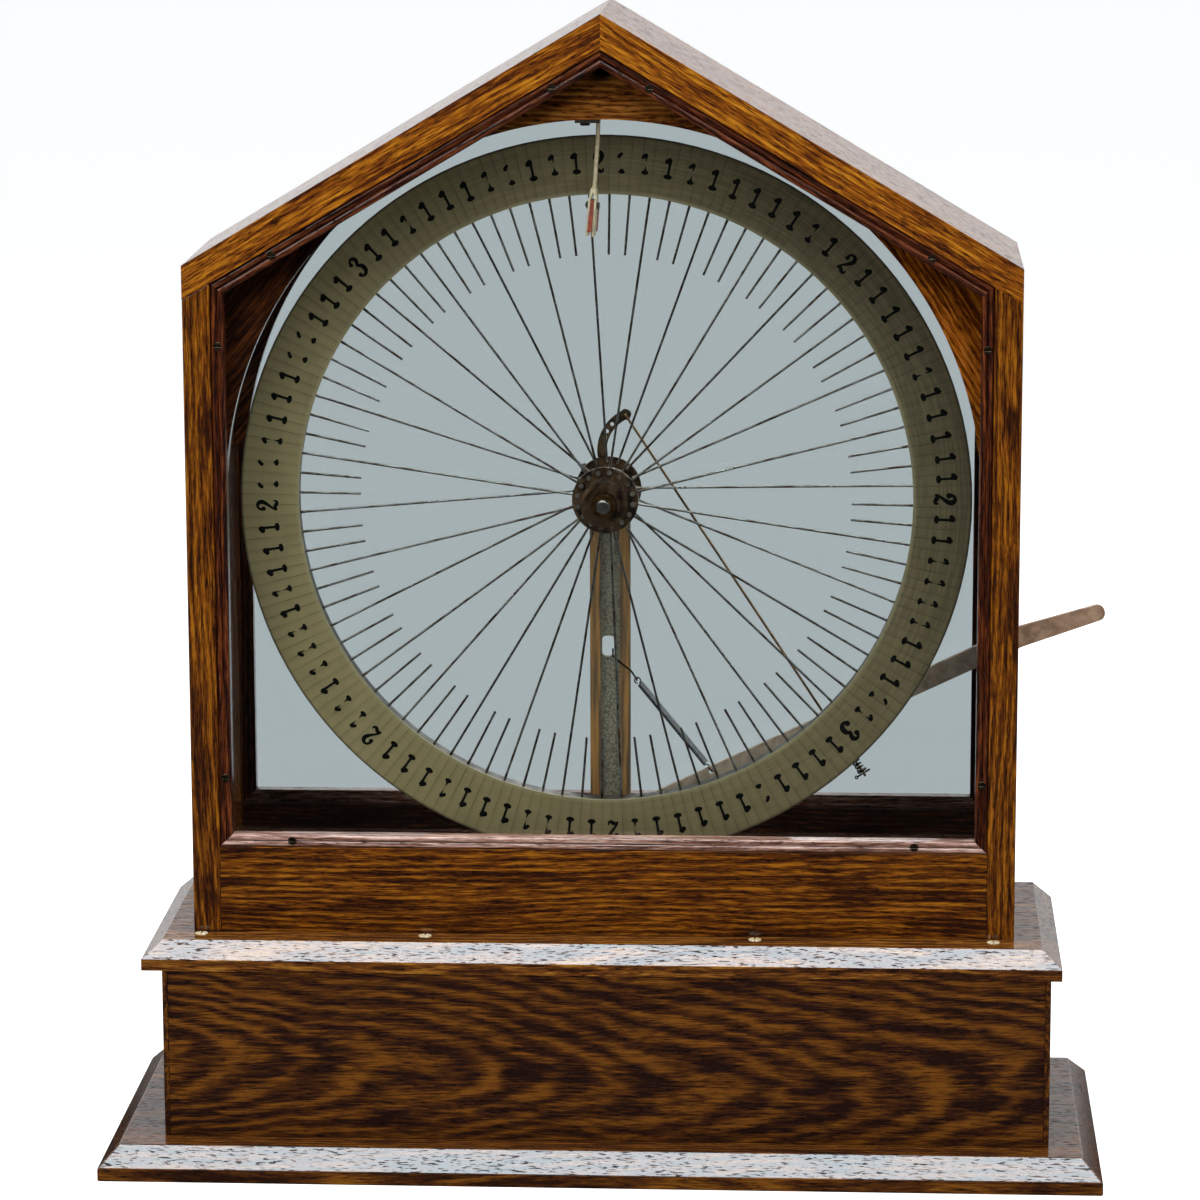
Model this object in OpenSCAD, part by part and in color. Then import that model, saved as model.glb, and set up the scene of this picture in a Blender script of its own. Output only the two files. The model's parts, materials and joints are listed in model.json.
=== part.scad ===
// Tabletop game of chance: a wire-spoked number wheel in a gabled oak case with glass front and back.
// A lever through the right side pulls a rod, the rod turns a crank arm on the wheel's axle,
// and a pawl on the arm drives a ratchet behind the hub. A leather flap clicks over the wheel's pins.
// Millimetres. X runs across with the lever at +X, Y from front to back, Z up.
// The origin is the centre of the underside of the lower plinth.

/* [Base] */
// Width of the lower plinth
lower_w = 616.2; // [590:0.1:640]
// Depth of the lower plinth
lower_d = 233.4; // [220:0.1:250]
// Height of the lower plinth's upright edge
lower_edge = 8.2; // [6:0.1:11]
// Thickness of the lower plinth
lower_t = 20.5; // [17:0.1:26]
// Width of the lower plinth's bevel, seen from above
lower_bevel = 12.3; // [8:0.1:16]
// Width of the box
box_w = 546; // [520:1:555]
// Depth of the box
box_d = 171.6; // [160:0.1:173]
// Height of the box's boards
box_h = 105.8; // [80:0.1:130]
// How far the box stands to the right of the middle
box_shift = 3; // [-3:0.5:5]
// Thickness of the box's boards
box_t = 17; // [12:0.5:22]
// End grain of each side board that shows beside the front board
box_lap = 3.4; // [2:0.1:8]
// Side of the square cleats inside the box
cleat = 18; // [12:1:24]
// Width of the upper plinth
upper_w = 565.2; // [556:0.1:580]
// Depth of the upper plinth
upper_d = 173.2; // [165:0.1:190]
// Height of the upper plinth's upright edge
upper_edge = 7.2; // [5:0.1:9]
// Thickness of the upper plinth
upper_t = 16.9; // [13:0.1:22]
// Width of the upper plinth's bevel, seen from above
upper_bevel = 12; // [8:0.1:15]

/* [Case] */
// Depth of the side boards
case_d = 132; // [128:0.5:135]
// Y of the front edges of the boards
case_front = -53.5; // [-55:0.5:-51]
// Thickness of the side boards
side_t = 17; // [14:0.5:18]
// Height of the case at the eaves above its floor
eave_h = 415.5; // [405:0.5:430]
// Pitch of the roof in degrees
pitch = 30.85; // [30:0.05:34]
// Thickness of the roof boards
roof_t = 18.2; // [15:0.1:20]
// Height of the bottom rails
rail_h = 53.8; // [45:0.1:54]
// Thickness of the bottom rails
rail_t = 17; // [12:0.5:18]
// Thickness of the gable boards and corner brackets
arch_t = 9; // [8:0.5:12]
// Room between the side boards and the arc cut in them
arch_room = 6.5; // [2:0.5:9]
// How far the arc's centre stands above the axle
arch_rise = 8; // [1.5:0.1:10]
// Half width of the gable boards
gable_x = 105; // [70:1:120]
// Where the corner brackets start, from the middle
bracket_x = 132; // [125:1:148]
// Height of the brackets' lower ends above the floor
bracket_z = 287; // [275:1:330]

/* [Glazing] */
// Thickness of the glass
glass_t = 2.2; // [1.5:0.1:3]
// Room between the glass and the wood round its edge
glass_gap = 0.5; // [0.3:0.1:1.5]
// Depth of the beads from front to back
bead_d = 9.5; // [8:0.1:10]
// How far the beads sit behind the boards' front edges
bead_back = 1.5; // [0.5:0.1:2.5]
// Height of the bottom bead
bead_low = 7.5; // [6.6:0.1:9]
// Width of the side beads
bead_side = 8; // [6.6:0.1:9]
// Width of the roof beads
bead_roof = 9.5; // [8:0.1:11]
// Radius of the bead screws' heads
bead_head_r = 2.6; // [2:0.1:3]
// Radius of the bead screws' shanks
bead_shank_r = 1.2; // [0.8:0.1:1.6]

/* [Wheel] */
// Height of the axle above the case's floor
axle_h = 264.8; // [263:0.1:266.5]
// Radius of the dial plate
dial_r = 226; // [215:0.5:229]
// Width of the dial plate from its edge to its hole
dial_w = 36.2; // [35:0.1:40]
// Thickness of the dial plate
dial_t = 1.6; // [1:0.1:2.5]
// Y of the dial plate's front
dial_y = -7; // [-8:0.1:-6]
// Step from the dial's hole out to the inside of the rim
rim_step = 0.7; // [0.3:0.1:3]
// Room between the dial plate's edge and the side boards
wheel_room = 11; // [8:0.5:16]
// Depth of the rim's channel, measured across the wheel
rim_depth = 13.4; // [11:0.1:16]
// Height of the rim's flanges
rim_flange = 12.5; // [8:0.5:18]
// Thickness of the rim's metal
rim_t = 1.5; // [1:0.1:2]
// Number of pins and spokes round the rim
pin_count = 96; // [48:48:96]
// Every how many pins one is a long spoke
spoke_step = 3; // [3:1:3]
// Clock angle of the first spoke in degrees
spoke_phase = -2.9; // [-3.2:0.1:-2.6]
// Radius of the spoke wire
wire_r = 0.75; // [0.5:0.05:1]
// Length of the stub pins inside the rim
stub_len = 38.5; // [26:0.5:46]
// Radius of the spoke nuts in the rim
nut_r = 1.6; // [1.3:0.1:1.8]

/* [Hub] */
// Radius of the hub's flanges
flange_r = 20.6; // [20:0.1:23]
// Thickness of the flanges
flange_t = 3; // [2:0.1:4]
// Y of the front of the front flange
flange_y = -5.5; // [-6.5:0.1:-4.5]
// Distance from the front of one flange to the front of the other
flange_gap = 41; // [38:0.5:42]
// Radius of the circle of spoke holes
spoke_circle = 17.3; // [17:0.1:18.5]
// Radius of the hub's barrel
barrel_r = 11; // [9:0.5:13]
// Outer radius of the front bearing housing
cup_r = 14.2; // [14:0.1:15]
// Length of the front bearing housing ahead of the flange
cup_len = 16.5; // [15:0.5:19]
// Outer radius of the rear bearing housing
rear_cup_r = 12.6; // [12.4:0.1:13]
// Length of the rear bearing housing behind the flange
rear_cup_len = 3.9; // [3.6:0.1:4.2]
// Radius of the bearing balls
ball_r = 2.1; // [1.8:0.1:2.2]
// Radius of the circle of ball centres
ball_circle = 8.8; // [8.6:0.1:9]
// Balls in each ring
ball_count = 9; // [6:1:10]
// Radius of the axle
axle_r = 4.4; // [3.8:0.1:4.6]
// Y of the axle's front end
axle_y = -32; // [-34:0.5:-30]
// Radius of the cones
cone_r = 7.4; // [6.8:0.1:7.6]
// Length of the front cone that stands out of the hub
cone_out = 6; // [4:0.5:8]

/* [Drive] */
// Teeth of the ratchet
ratchet_teeth = 36; // [36:36:36]
// Radius over the ratchet's teeth
ratchet_r = 15.5; // [15.4:0.1:15.6]
// Depth of the teeth
tooth_h = 1.3; // [1.1:0.1:1.4]
// Thickness of the ratchet and the pawl
ratchet_t = 2.7; // [2:0.1:2.8]
// Thickness of the crank arm
arm_t = 3; // [2.5:0.1:3.2]
// Width of the crank arm
arm_w = 6; // [5:0.1:7.5]
// Radius of the crank arm's boss
arm_boss = 9; // [8:0.5:10]
// Distance from the axle to the rod's hole in the arm
arm_len = 47.07; // [46.5:0.01:47.5]
// Clock angle of the rod's hole at rest in degrees
arm_angle = 12.77; // [12.5:0.01:13]
// Radius of the bend in the crank arm
arm_bend = 24.9; // [24:0.1:26]
// Distance between the axle and the pawl's pin
pawl_x = 19.4; // [19.2:0.1:19.6]
// Clock angle of the pawl's pin at rest in degrees
pawl_angle = -52.15; // [-52.5:0.05:-51.8]
// Radius of the pawl's pin
pawl_pin_r = 1; // [0.8:0.1:1.2]
// Radius of the pull rod
rod_r = 0.8; // [0.7:0.05:1.1]
// Length of the pull rod beyond the lug's middle
rod_tail = 40; // [37:0.5:46]
// Y of the pull rod
rod_y = 41; // [40.6:0.1:41.2]
// Wire radius of the cushion spring
cushion_wire = 0.55; // [0.35:0.05:0.6]
// Outer radius of the cushion spring
cushion_r = 3; // [2.6:0.1:3.4]
// Curls of the cushion spring
cushion_curls = 11; // [8:1:14]

/* [Lever] */
// Height of the lever's pivot above the floor
lever_h = 46.8; // [45:0.1:48]
// Angle of the lever above level at rest in degrees
lever_angle = 25.57; // [25.4:0.01:25.7]
// Distance along the lever from the pivot to the lug's middle
lug_at = 155.3; // [155:0.1:155.6]
// Width of the lever bar
lever_w = 12.9; // [11:0.1:14]
// Thickness of the lever bar
lever_t = 4; // [3:0.1:4.5]
// Y of the lever's front face
lever_y = 44; // [44:0.1:44.6]
// How far outside the case the handle starts
handle_out = 3.5; // [3:0.1:8]
// Angle of the handle above level in degrees
handle_angle = 18; // [12:0.5:25.5]
// Length of the handle to the middle of its rounded tip
handle_len = 51.5; // [40:0.5:70]
// Width of the handle at its tip
handle_tip = 10; // [8:0.1:12.5]
// Radius of the lever's pivot bolt
bolt_r = 4; // [3:0.1:5]
// Most that the lever is pulled down, in degrees
lever_travel = 10.86; // [9:0.01:11]
// Height of the slot plate
plate_h = 102; // [98:0.5:106]
// Width of the slot plate
plate_w = 22; // [18:0.5:26]
// Thickness of the slot plate
plate_t = 1.5; // [1:0.1:2.5]
// Wire radius of the return spring
spring_wire = 0.4; // [0.3:0.05:0.42]
// Outer radius of the return spring
spring_r = 2.3; // [2.1:0.1:2.7]
// Curls of the return spring
spring_curls = 50; // [30:1:50]

/* [Post] */
// Width of the post
post_w = 25.4; // [24:0.1:28]
// Width of each of the post's flanges
post_flange = 6.5; // [5:0.1:7.5]
// Y of the front of the post's flanges
post_y = 50; // [49.8:0.1:50.5]
// Depth of the post from front to back
post_d = 9; // [8:0.1:9.2]
// Thickness of the post's web
web_t = 4; // [3:0.1:5]
// Half width of the post's foot
foot_x = 24; // [20:0.5:30]
// How far the foot reaches ahead of the post
foot_reach = 20; // [16:0.5:24]
// Thickness of the foot
foot_t = 5; // [4:0.1:7]

/* [Pointer] */
// Middle of the flap at the wheel's pins, from the middle of the case
flap_x = -6; // [-6.1:0.05:-5.6]
// Thickness of the leather flap
flap_t = 2.5; // [2:0.1:2.6]
// Height of the flap
flap_h = 16; // [12:0.5:18]
// Height of the flap's lower edge above the axle
flap_z = 166; // [164:0.5:168]
// Thickness of the pointer's tines
tine_t = 1.2; // [1:0.1:1.6]
// Radius of the pointer's stem
stem_r = 1.3; // [1:0.1:1.6]
// Y of the pointer's stem
pointer_y = -16; // [-17:0.5:-15]
// How far the fork leans to the right in degrees
fork_lean = 5; // [0:0.5:6]

/* [Clearances] */
// Between a screw or pin and the piece it is fixed in
fixed_gap = 0.02; // [0.01:0.01:0.05]
// Between two beads where their mitres meet
mitre_gap = 0.1; // [0.05:0.05:0.3]
// Between a shaft and what turns on it
run_gap = 0.05; // [0.03:0.01:0.08]
// Between moving faces
side_gap = 0.3; // [0.25:0.05:0.4]

/* [Hidden] */
$fn = 96;

// Colours
oak = [0.27, 0.15, 0.09];
brass = [0.72, 0.55, 0.28];
steel = [0.45, 0.45, 0.46];
dark_steel = [0.22, 0.20, 0.18];
dial_metal = [0.46, 0.42, 0.30];
nickel = [0.80, 0.77, 0.70];

// Levels and half sizes of the case
box_z = lower_t;
plinth_z = box_z + box_h;
floor_z = plinth_z + upper_t;
inner = dial_r + wheel_room;
half = inner + side_t;
arch_r = inner - arch_room;
arch_z = axle_h + arch_rise;
case_back = case_front + case_d;
mid_y = (case_front + case_back) / 2;
eave_z = floor_z + eave_h;
roof_plumb = roof_t / cos(pitch);
ridge_under = eave_z + half * tan(pitch) - roof_plumb;
rail_top = floor_z + rail_h;
wheel_z = floor_z + axle_h;
arc_z = floor_z + arch_z;
bead_y = case_front + bead_back;
glass_y = bead_y + bead_d;
arch_y = glass_y + glass_t;

// Height of the roof's underside at a distance from the middle
function under(x) = ridge_under - abs(x) * tan(pitch);

// The opening that the beads line, and the sight edge inside them
opening = [[-inner, rail_top], [inner, rail_top], [inner, under(inner)], [0, ridge_under],
    [-inner, under(inner)]];
bead_plumb = bead_roof / cos(pitch);
sight_x = inner - bead_side;
sight = [[-sight_x, rail_top + bead_low], [sight_x, rail_top + bead_low],
    [sight_x, under(sight_x) - bead_plumb], [0, ridge_under - bead_plumb],
    [-sight_x, under(sight_x) - bead_plumb]];
bead_width = [bead_low, bead_side, bead_roof, bead_roof, bead_side];

// Places of the screws in the front beads
bottom_screw_x = 192;
side_screw_low = 97;
side_screw_drop = 49.5;
side_screw_h = [side_screw_low, eave_h - side_screw_drop];
roof_screw_x = [29.5, 199];
bead_screw_at = concat(
    [for (s = [-1, 1]) [s * bottom_screw_x, rail_top + bead_low / 2]],
    [for (s = [-1, 1], h = side_screw_h) [s * (inner - bead_side / 2), floor_z + h]],
    [for (s = [-1, 1], x = roof_screw_x) [s * x, under(x) - bead_plumb / 2]]);

// Screws through the upper plinth into the cleats
plinth_screw_x = [-248.5, -109.4, 94.6, 241.3];
plinth_screw_y = -60;
plinth_screw_r = 4;
plinth_shank_r = 2.2;
plinth_screw_len = 28;

// Screws that hold the gable boards and the brackets, as clock angles about the arc's centre
gable_screw = [-6.65, 6.65];
bracket_screw = [-49.7, 54.1];
arch_screw_r = 1.75;
arch_head_r = 2.7;
arch_head_deep = 3.5;
arch_bite = 11;
roof_reach = (ridge_under - arc_z) * cos(pitch);
function arch_end(a) = (roof_reach + arch_bite) / cos(abs(a) - pitch);

// Wheel
pin_pitch = 360 / pin_count;
dial_bore = dial_r - dial_w;
rim_r = dial_bore + rim_step;
stub_r = rim_r - stub_len;
dial_back = dial_y + dial_t;
rim_out = rim_r + rim_t;
rear_flange_y = flange_y + flange_gap;
rear_flange_back = rear_flange_y + flange_t;
race_gap = 2 * run_gap;
cup_y = flange_y - cup_len;
cup_wall = 3;
race_r = cup_r - cup_wall;
bore_r = ball_circle - ball_r - side_gap;
front_ball_y = cup_y + 7;
rear_ball_y = rear_flange_back - 1;
rear_cup_end = rear_flange_back + rear_cup_len;
ratchet_y = rear_flange_back + 1;
arm_y = rear_cup_end + 0.6;
spacer_y = arm_y + arm_t + side_gap;
diag = sqrt(2);

// Linkage, in the XZ plane
hub_at = [0, wheel_z];
lever_at = [0, floor_z + lever_h];
function clock(r, a) = [r * sin(a), r * cos(a)];
arm_hole = hub_at + clock(arm_len, arm_angle);
lug_point = lever_at + lug_at * [cos(lever_angle), sin(lever_angle)];
rod_vec = lug_point - arm_hole;
rod_len = norm(rod_vec);
rod_dir = rod_vec / rod_len;
rod_tilt = atan2(rod_dir[1], rod_dir[0]);
lever_mid = lever_y + lever_t / 2;
handle_x = half + handle_out;

// Slot for the lever in the right side
slot_t = lever_t + 2;
lever_rise = lever_w / 2 / cos(lever_angle);
slot_low = lever_at[1] + inner * tan(lever_angle - lever_travel)
    - lever_w / 2 / cos(lever_angle - lever_travel) - side_gap * 2;
slot_high = lever_at[1] + (half + plate_t) * tan(lever_angle) + lever_rise + side_gap * 3;
plate_slot_low = lever_at[1] + half * tan(lever_angle - lever_travel)
    - lever_w / 2 / cos(lever_angle - lever_travel) - side_gap * 2;
plate_mid = (slot_high + plate_slot_low) / 2 - 1.5;
plate_screw_gap = 86.4;
plate_screw_r = 3;

// Shapes used several times

// A flat piece of a given outline in X and Z between two depths
module plate(points, y0, y1) {
    translate([0, y1, 0]) rotate([90, 0, 0]) linear_extrude(y1 - y0) polygon(points);
}

// A round bar along Y
module bar_y(at, y0, y1, r) {
    translate([at[0], y0, at[1]]) rotate([-90, 0, 0]) cylinder(h = y1 - y0, r = r);
}

// A turned piece round the wheel's axis, its outline given as radius and Y
module turned(points) {
    translate([0, 0, wheel_z]) rotate([-90, 0, 0]) rotate_extrude() polygon(points);
}

// A wire through a list of points, with round corners
module wire(points, r) {
    for (i = [0 : len(points) - 2]) {
        v = points[i + 1] - points[i];
        translate(points[i]) rotate([0, acos(v[2] / norm(v)), atan2(v[1], v[0])])
            cylinder(h = norm(v), r = r, $fn = 32);
        if (i > 0) translate(points[i]) sphere(r = 1.06 * r, $fn = 32);
    }
}

// The same piece at the back of the case
module at_back() {
    translate([0, 2 * mid_y, 0]) mirror([0, 1, 0]) children();
}

// The wedge that a bevel takes off a board's front edge
module bevel_cut(length, depth, z_edge, z_top, run) {
    slope = (z_top - z_edge) / run;
    translate([-length / 2 - 1, -depth, 0]) rotate([90, 0, 90]) linear_extrude(length + 2)
        polygon([[-1, z_edge - slope], [run + 1, z_top + slope], [-1, z_top + slope]]);
}

// A board bevelled along its front and ends, and along its back if asked
module bevelled(w, d, z0, edge, t, run, back) {
    difference() {
        translate([-w / 2, -d / 2, z0]) cube([w, d, t]);
        bevel_cut(w, d / 2, z0 + edge, z0 + t, run);
        if (back) mirror([0, 1, 0]) bevel_cut(w, d / 2, z0 + edge, z0 + t, run);
        rotate([0, 0, -90]) bevel_cut(d, w / 2, z0 + edge, z0 + t, run);
        rotate([0, 0, 90]) bevel_cut(d, w / 2, z0 + edge, z0 + t, run);
    }
}

// An unbroken tube of six sides along a list of points
function cross_unit(a, b) = let (c = cross(a, b)) c / norm(c);
function tangents(p) = [for (i = [0 : len(p) - 1])
    let (v = p[min(i + 1, len(p) - 1)] - p[max(i - 1, 0)]) v / norm(v)];
function frames(t, first) = [for (i = 0, n = first; i < len(t);
    i = i + 1, n = i < len(t) ? let (m = n - (n * t[i]) * t[i]) m / norm(m) : n) n];
module tube(p, r, first) {
    sides = 6;
    t = tangents(p);
    n = frames(t, first);
    rings = [for (i = [0 : len(p) - 1], k = [0 : sides - 1])
        let (a = 360 * k / sides) p[i] + r * (cos(a) * n[i] + sin(a) * cross_unit(t[i], n[i]))];
    last = len(p) - 1;
    walls = [for (i = [0 : last - 1], k = [0 : sides - 1])
        let (a = i * sides + k, b = i * sides + (k + 1) % sides)
        each [[a, a + sides, b], [b, a + sides, b + sides]]];
    ends = [for (k = [1 : sides - 2]) each [[0, k, k + 1],
        [last * sides, last * sides + k + 1, last * sides + k]]];
    polyhedron(points = rings, faces = concat(walls, ends));
}

// Least gap between curls of a tube: its pitch less its thickness
function least_gap(pts, per_curl, r) = min([for (i = [0 : len(pts) - per_curl - 1])
    norm(pts[i + per_curl] - pts[i])]) - 2 * r;

// Base

module lower_plinth() {
    color(oak) bevelled(lower_w, lower_d, 0, lower_edge, lower_t, lower_bevel, true);
}

module box_front_board() {
    translate([box_shift - box_w / 2 + box_lap, -box_d / 2, box_z])
        cube([box_w - 2 * box_lap, box_t, box_h]);
}

module box_front() {
    color(oak) box_front_board();
}

module box_back() {
    color(oak) mirror([0, 1, 0]) box_front_board();
}

module box_side(s) {
    translate([box_shift, 0, 0]) difference() {
        translate([s > 0 ? box_w / 2 - box_t : -box_w / 2, -box_d / 2, box_z])
            cube([box_t, box_d, box_h]);
        for (t = [-1, 1]) translate([s * (box_w / 2 - box_lap - box_t / 2), t * box_d / 2, box_z])
            translate([-box_t / 2, -box_t, -1]) cube([box_t, 2 * box_t, box_h + 2]);
    }
}

module box_left() {
    color(oak) box_side(-1);
}

module box_right() {
    color(oak) box_side(1);
}

module box_cleats() {
    length = box_w - 2 * box_t;
    color(oak) for (s = [-1, 1]) difference() {
        translate([box_shift - length / 2, s > 0 ? box_d / 2 - box_t - cleat : box_t - box_d / 2,
            plinth_z - cleat]) cube([length, cleat, cleat]);
        if (s < 0) plinth_holes();
    }
}

module plinth_holes() {
    for (x = plinth_screw_x) translate([x, plinth_screw_y, floor_z]) {
        translate([0, 0, -2]) cylinder(h = 3, r = plinth_screw_r + fixed_gap);
        translate([0, 0, -plinth_screw_len - 1])
            cylinder(h = plinth_screw_len, r = plinth_shank_r + fixed_gap);
    }
}

module upper_plinth() {
    color(oak) difference() {
        bevelled(upper_w, upper_d, plinth_z, upper_edge, upper_t, upper_bevel, false);
        plinth_holes();
        post_holes();
    }
}

module plinth_screws() {
    color(nickel) for (x = plinth_screw_x) translate([x, plinth_screw_y, floor_z]) difference() {
        union() {
            translate([0, 0, -2]) cylinder(h = 2.4, r = plinth_screw_r);
            translate([0, 0, -plinth_screw_len]) cylinder(h = plinth_screw_len - 1, r = plinth_shank_r);
        }
        translate([-0.5, -5, -0.5]) cube([1, 10, 2]);
    }
}

// Case

module side_board(s) {
    plate([[s * inner, floor_z], [s * half, floor_z], [s * half, under(half)],
        [s * inner, under(inner)]], case_front, case_back);
}

module side_left() {
    color(oak) difference() {
        side_board(-1);
        arch_holes(bracket_screw);
    }
}

module side_right() {
    color(oak) difference() {
        side_board(1);
        arch_holes(bracket_screw);
        translate([inner - 1, lever_mid - slot_t / 2, slot_low])
            cube([side_t + 2, slot_t, slot_high - slot_low]);
        plate_screw_holes();
    }
}

module roof_board(s) {
    difference() {
        plate([[s * half, under(half)], [s * half, under(half) + roof_plumb],
            [0, ridge_under + roof_plumb], [0, ridge_under]], case_front, case_back);
        arch_holes(concat(gable_screw, bracket_screw));
    }
}

module roof_left() {
    color(oak) roof_board(-1);
}

module roof_right() {
    color(oak) roof_board(1);
}

module rail() {
    translate([-inner, case_front, floor_z]) cube([2 * inner, rail_t, rail_h]);
}

module rail_front() {
    color(oak) rail();
}

module rail_back() {
    color(oak) at_back() rail();
}

// A hole along a screw that points away from the arc's centre
module arch_hole(a, y) {
    translate([0, y, arc_z]) rotate([0, a, 0]) {
        translate([0, 0, arch_r - 3]) cylinder(h = 3 + arch_head_deep, r = arch_head_r + 0.3);
        translate([0, 0, arch_r])
            cylinder(h = arch_end(a) - arch_r + 0.2, r = arch_screw_r + fixed_gap);
    }
}

module arch_holes(angles) {
    y = arch_y + arch_t / 2;
    for (a = angles) {
        arch_hole(a, y);
        arch_hole(a, 2 * mid_y - y);
    }
}

module arch_cut() {
    bar_y([0, arc_z], arch_y - 1, arch_y + arch_t + 1, arch_r, $fn = 240);
}

module gable() {
    difference() {
        plate([[-gable_x, under(gable_x)], [-gable_x, arc_z], [gable_x, arc_z],
            [gable_x, under(gable_x)], [0, ridge_under]], arch_y, arch_y + arch_t);
        arch_cut();
        arch_holes(gable_screw);
        pointer_screw_hole();
    }
}

module bracket(s) {
    difference() {
        plate([[s * bracket_x, arc_z], [s * bracket_x, under(bracket_x)],
            [s * inner, under(inner)], [s * inner, floor_z + bracket_z],
            [s * (inner - 20), floor_z + bracket_z], [s * (inner - 20), arc_z]],
            arch_y, arch_y + arch_t);
        arch_cut();
        translate([-half, arch_y - 1, arc_z - 50])
            cube([2 * half, arch_t + 2, floor_z + bracket_z - arc_z + 50]);
        arch_holes(bracket_screw);
    }
}

module gable_front() {
    color(oak) gable();
}

module gable_back() {
    color(oak) at_back() difference() {
        plate([[-gable_x, under(gable_x)], [-gable_x, arc_z], [gable_x, arc_z],
            [gable_x, under(gable_x)], [0, ridge_under]], arch_y, arch_y + arch_t);
        arch_cut();
        arch_holes(gable_screw);
    }
}

module bracket_front_left() {
    color(oak) bracket(-1);
}

module bracket_front_right() {
    color(oak) bracket(1);
}

module bracket_back_left() {
    color(oak) at_back() bracket(-1);
}

module bracket_back_right() {
    color(oak) at_back() bracket(1);
}

module arch_screw(a, y) {
    translate([0, y, arc_z]) rotate([0, a, 0]) {
        translate([0, 0, arch_r + arch_head_deep - 2]) cylinder(h = 2, r = arch_head_r);
        translate([0, 0, arch_r + arch_head_deep])
            cylinder(h = arch_end(a) - arch_r - arch_head_deep, r = arch_screw_r);
    }
}

module arch_screws() {
    y = arch_y + arch_t / 2;
    color(dark_steel) for (a = concat(gable_screw, bracket_screw)) {
        arch_screw(a, y);
        arch_screw(a, 2 * mid_y - y);
    }
}

// Glazing

module pane() {
    g = glass_gap;
    plate([[-inner + g, rail_top], [inner - g, rail_top], [inner - g, under(inner) - g],
        [0, ridge_under - g / cos(pitch)], [-inner + g, under(inner) - g]], glass_y, arch_y);
}

module glass_front() {
    color([0.8, 0.9, 0.95, 0.3]) pane();
}

module glass_back() {
    color([0.8, 0.9, 0.95, 0.3]) at_back() pane();
}

// Section of the double bead as depth and width, from its back round its two round noses
function bead_section(w) = let (r = w / 4) concat([[glass_y, 0], [glass_y, w]],
    [for (c = [3 * r, r], a = [90 : -18 : -90]) [bead_y + r - r * cos(a), c + r * sin(a)]]);

// One straight length of it, mitred where it meets the next
module bead(i) {
    j = (i + 1) % len(opening);
    v = opening[j] - opening[i];
    w = bead_width[i];
    in = v / norm(v) * mitre_gap / 2;
    intersection() {
        plate([opening[i] + in, opening[j] - in, sight[j] - in, sight[i] + in], bead_y - 1,
            glass_y + 1);
        translate([opening[i][0], 0, opening[i][1]]) rotate([0, -atan2(v[1], v[0]), 0])
            translate([-w, 0, 0]) rotate([90, 0, 90]) linear_extrude(norm(v) + 2 * w)
                polygon(bead_section(w));
    }
}

module beads() {
    difference() {
        for (i = [0 : len(opening) - 1]) bead(i);
        for (at = bead_screw_at) {
            bar_y(at, bead_y - 1, bead_y + 1.4, bead_head_r + fixed_gap);
            bar_y(at, bead_y, glass_y - 1, bead_shank_r + fixed_gap);
        }
    }
}

module beads_front() {
    color(oak) beads();
}

module beads_back() {
    color(oak) at_back() beads();
}

module bead_screw_set() {
    for (at = bead_screw_at) difference() {
        union() {
            bar_y(at, bead_y - 0.2, bead_y + 1.4, bead_head_r);
            bar_y(at, bead_y + 1, glass_y - 1.2, bead_shank_r);
        }
        translate([at[0], bead_y, at[1]]) cube([2 * bead_head_r + 1, 1, 0.7], center = true);
    }
}

module bead_screws() {
    color(brass) {
        bead_screw_set();
        at_back() bead_screw_set();
    }
}

// Wheel

// Places along a wire from the hub to the rim
bend_r = 1.1 * wire_r;
thread_r = wire_r + 0.1;
front_wire_y = flange_y + flange_t + bend_r + run_gap;
rear_wire_y = rear_flange_y - bend_r - run_gap;
function spoke_angle(i) = spoke_phase + i * pin_pitch;

module long_spoke(y, flange_face, head_side) {
    v = [0, -y, rim_r - spoke_circle];
    // Straight run to the rim, and its rolled thread through the rim
    translate([0, y, spoke_circle]) rotate([atan2(y, rim_r - spoke_circle), 0, 0])
        cylinder(h = norm(v) - 1, r = wire_r, $fn = 24);
    translate([0, 0, rim_r - 4]) cylinder(h = rim_t + 5.4, r = thread_r, $fn = 24);
    // Bent end through the flange, with its head
    translate([0, y, spoke_circle]) sphere(r = bend_r, $fn = 24);
    translate([0, min(y, flange_face), spoke_circle]) rotate([-90, 0, 0])
        cylinder(h = abs(y - flange_face), r = wire_r, $fn = 24);
    translate([0, flange_face - (head_side < 0 ? 0.8 : 0), spoke_circle]) rotate([-90, 0, 0])
        cylinder(h = 0.8, r = 1.5, $fn = 24);
    spoke_nut();
}

module spoke_nut() {
    translate([0, 0, rim_out]) cylinder(h = 1.6, r = nut_r, $fn = 24);
}

// Every other long spoke runs to the rear flange, those between to the front one
module spokes_rear() {
    color(steel) translate([0, 0, wheel_z]) for (i = [0 : 2 * spoke_step : pin_count - 1])
        rotate([0, spoke_angle(i), 0]) long_spoke(rear_wire_y, rear_flange_back, 1);
}

module spokes_front() {
    color(steel) translate([0, 0, wheel_z]) for (i = [spoke_step : 2 * spoke_step : pin_count - 1])
        rotate([0, spoke_angle(i), 0]) long_spoke(front_wire_y, flange_y, -1);
}

module stub_pins() {
    color(steel) translate([0, 0, wheel_z]) for (i = [0 : pin_count - 1])
        if (i % spoke_step != 0) rotate([0, spoke_angle(i), 0]) {
            translate([0, 0, stub_r]) cylinder(h = rim_out + 0.8 - stub_r, r = wire_r, $fn = 24);
            translate([0, 0, rim_r - 4]) cylinder(h = rim_t + 5.4, r = thread_r, $fn = 24);
            spoke_nut();
        }
}

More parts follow.
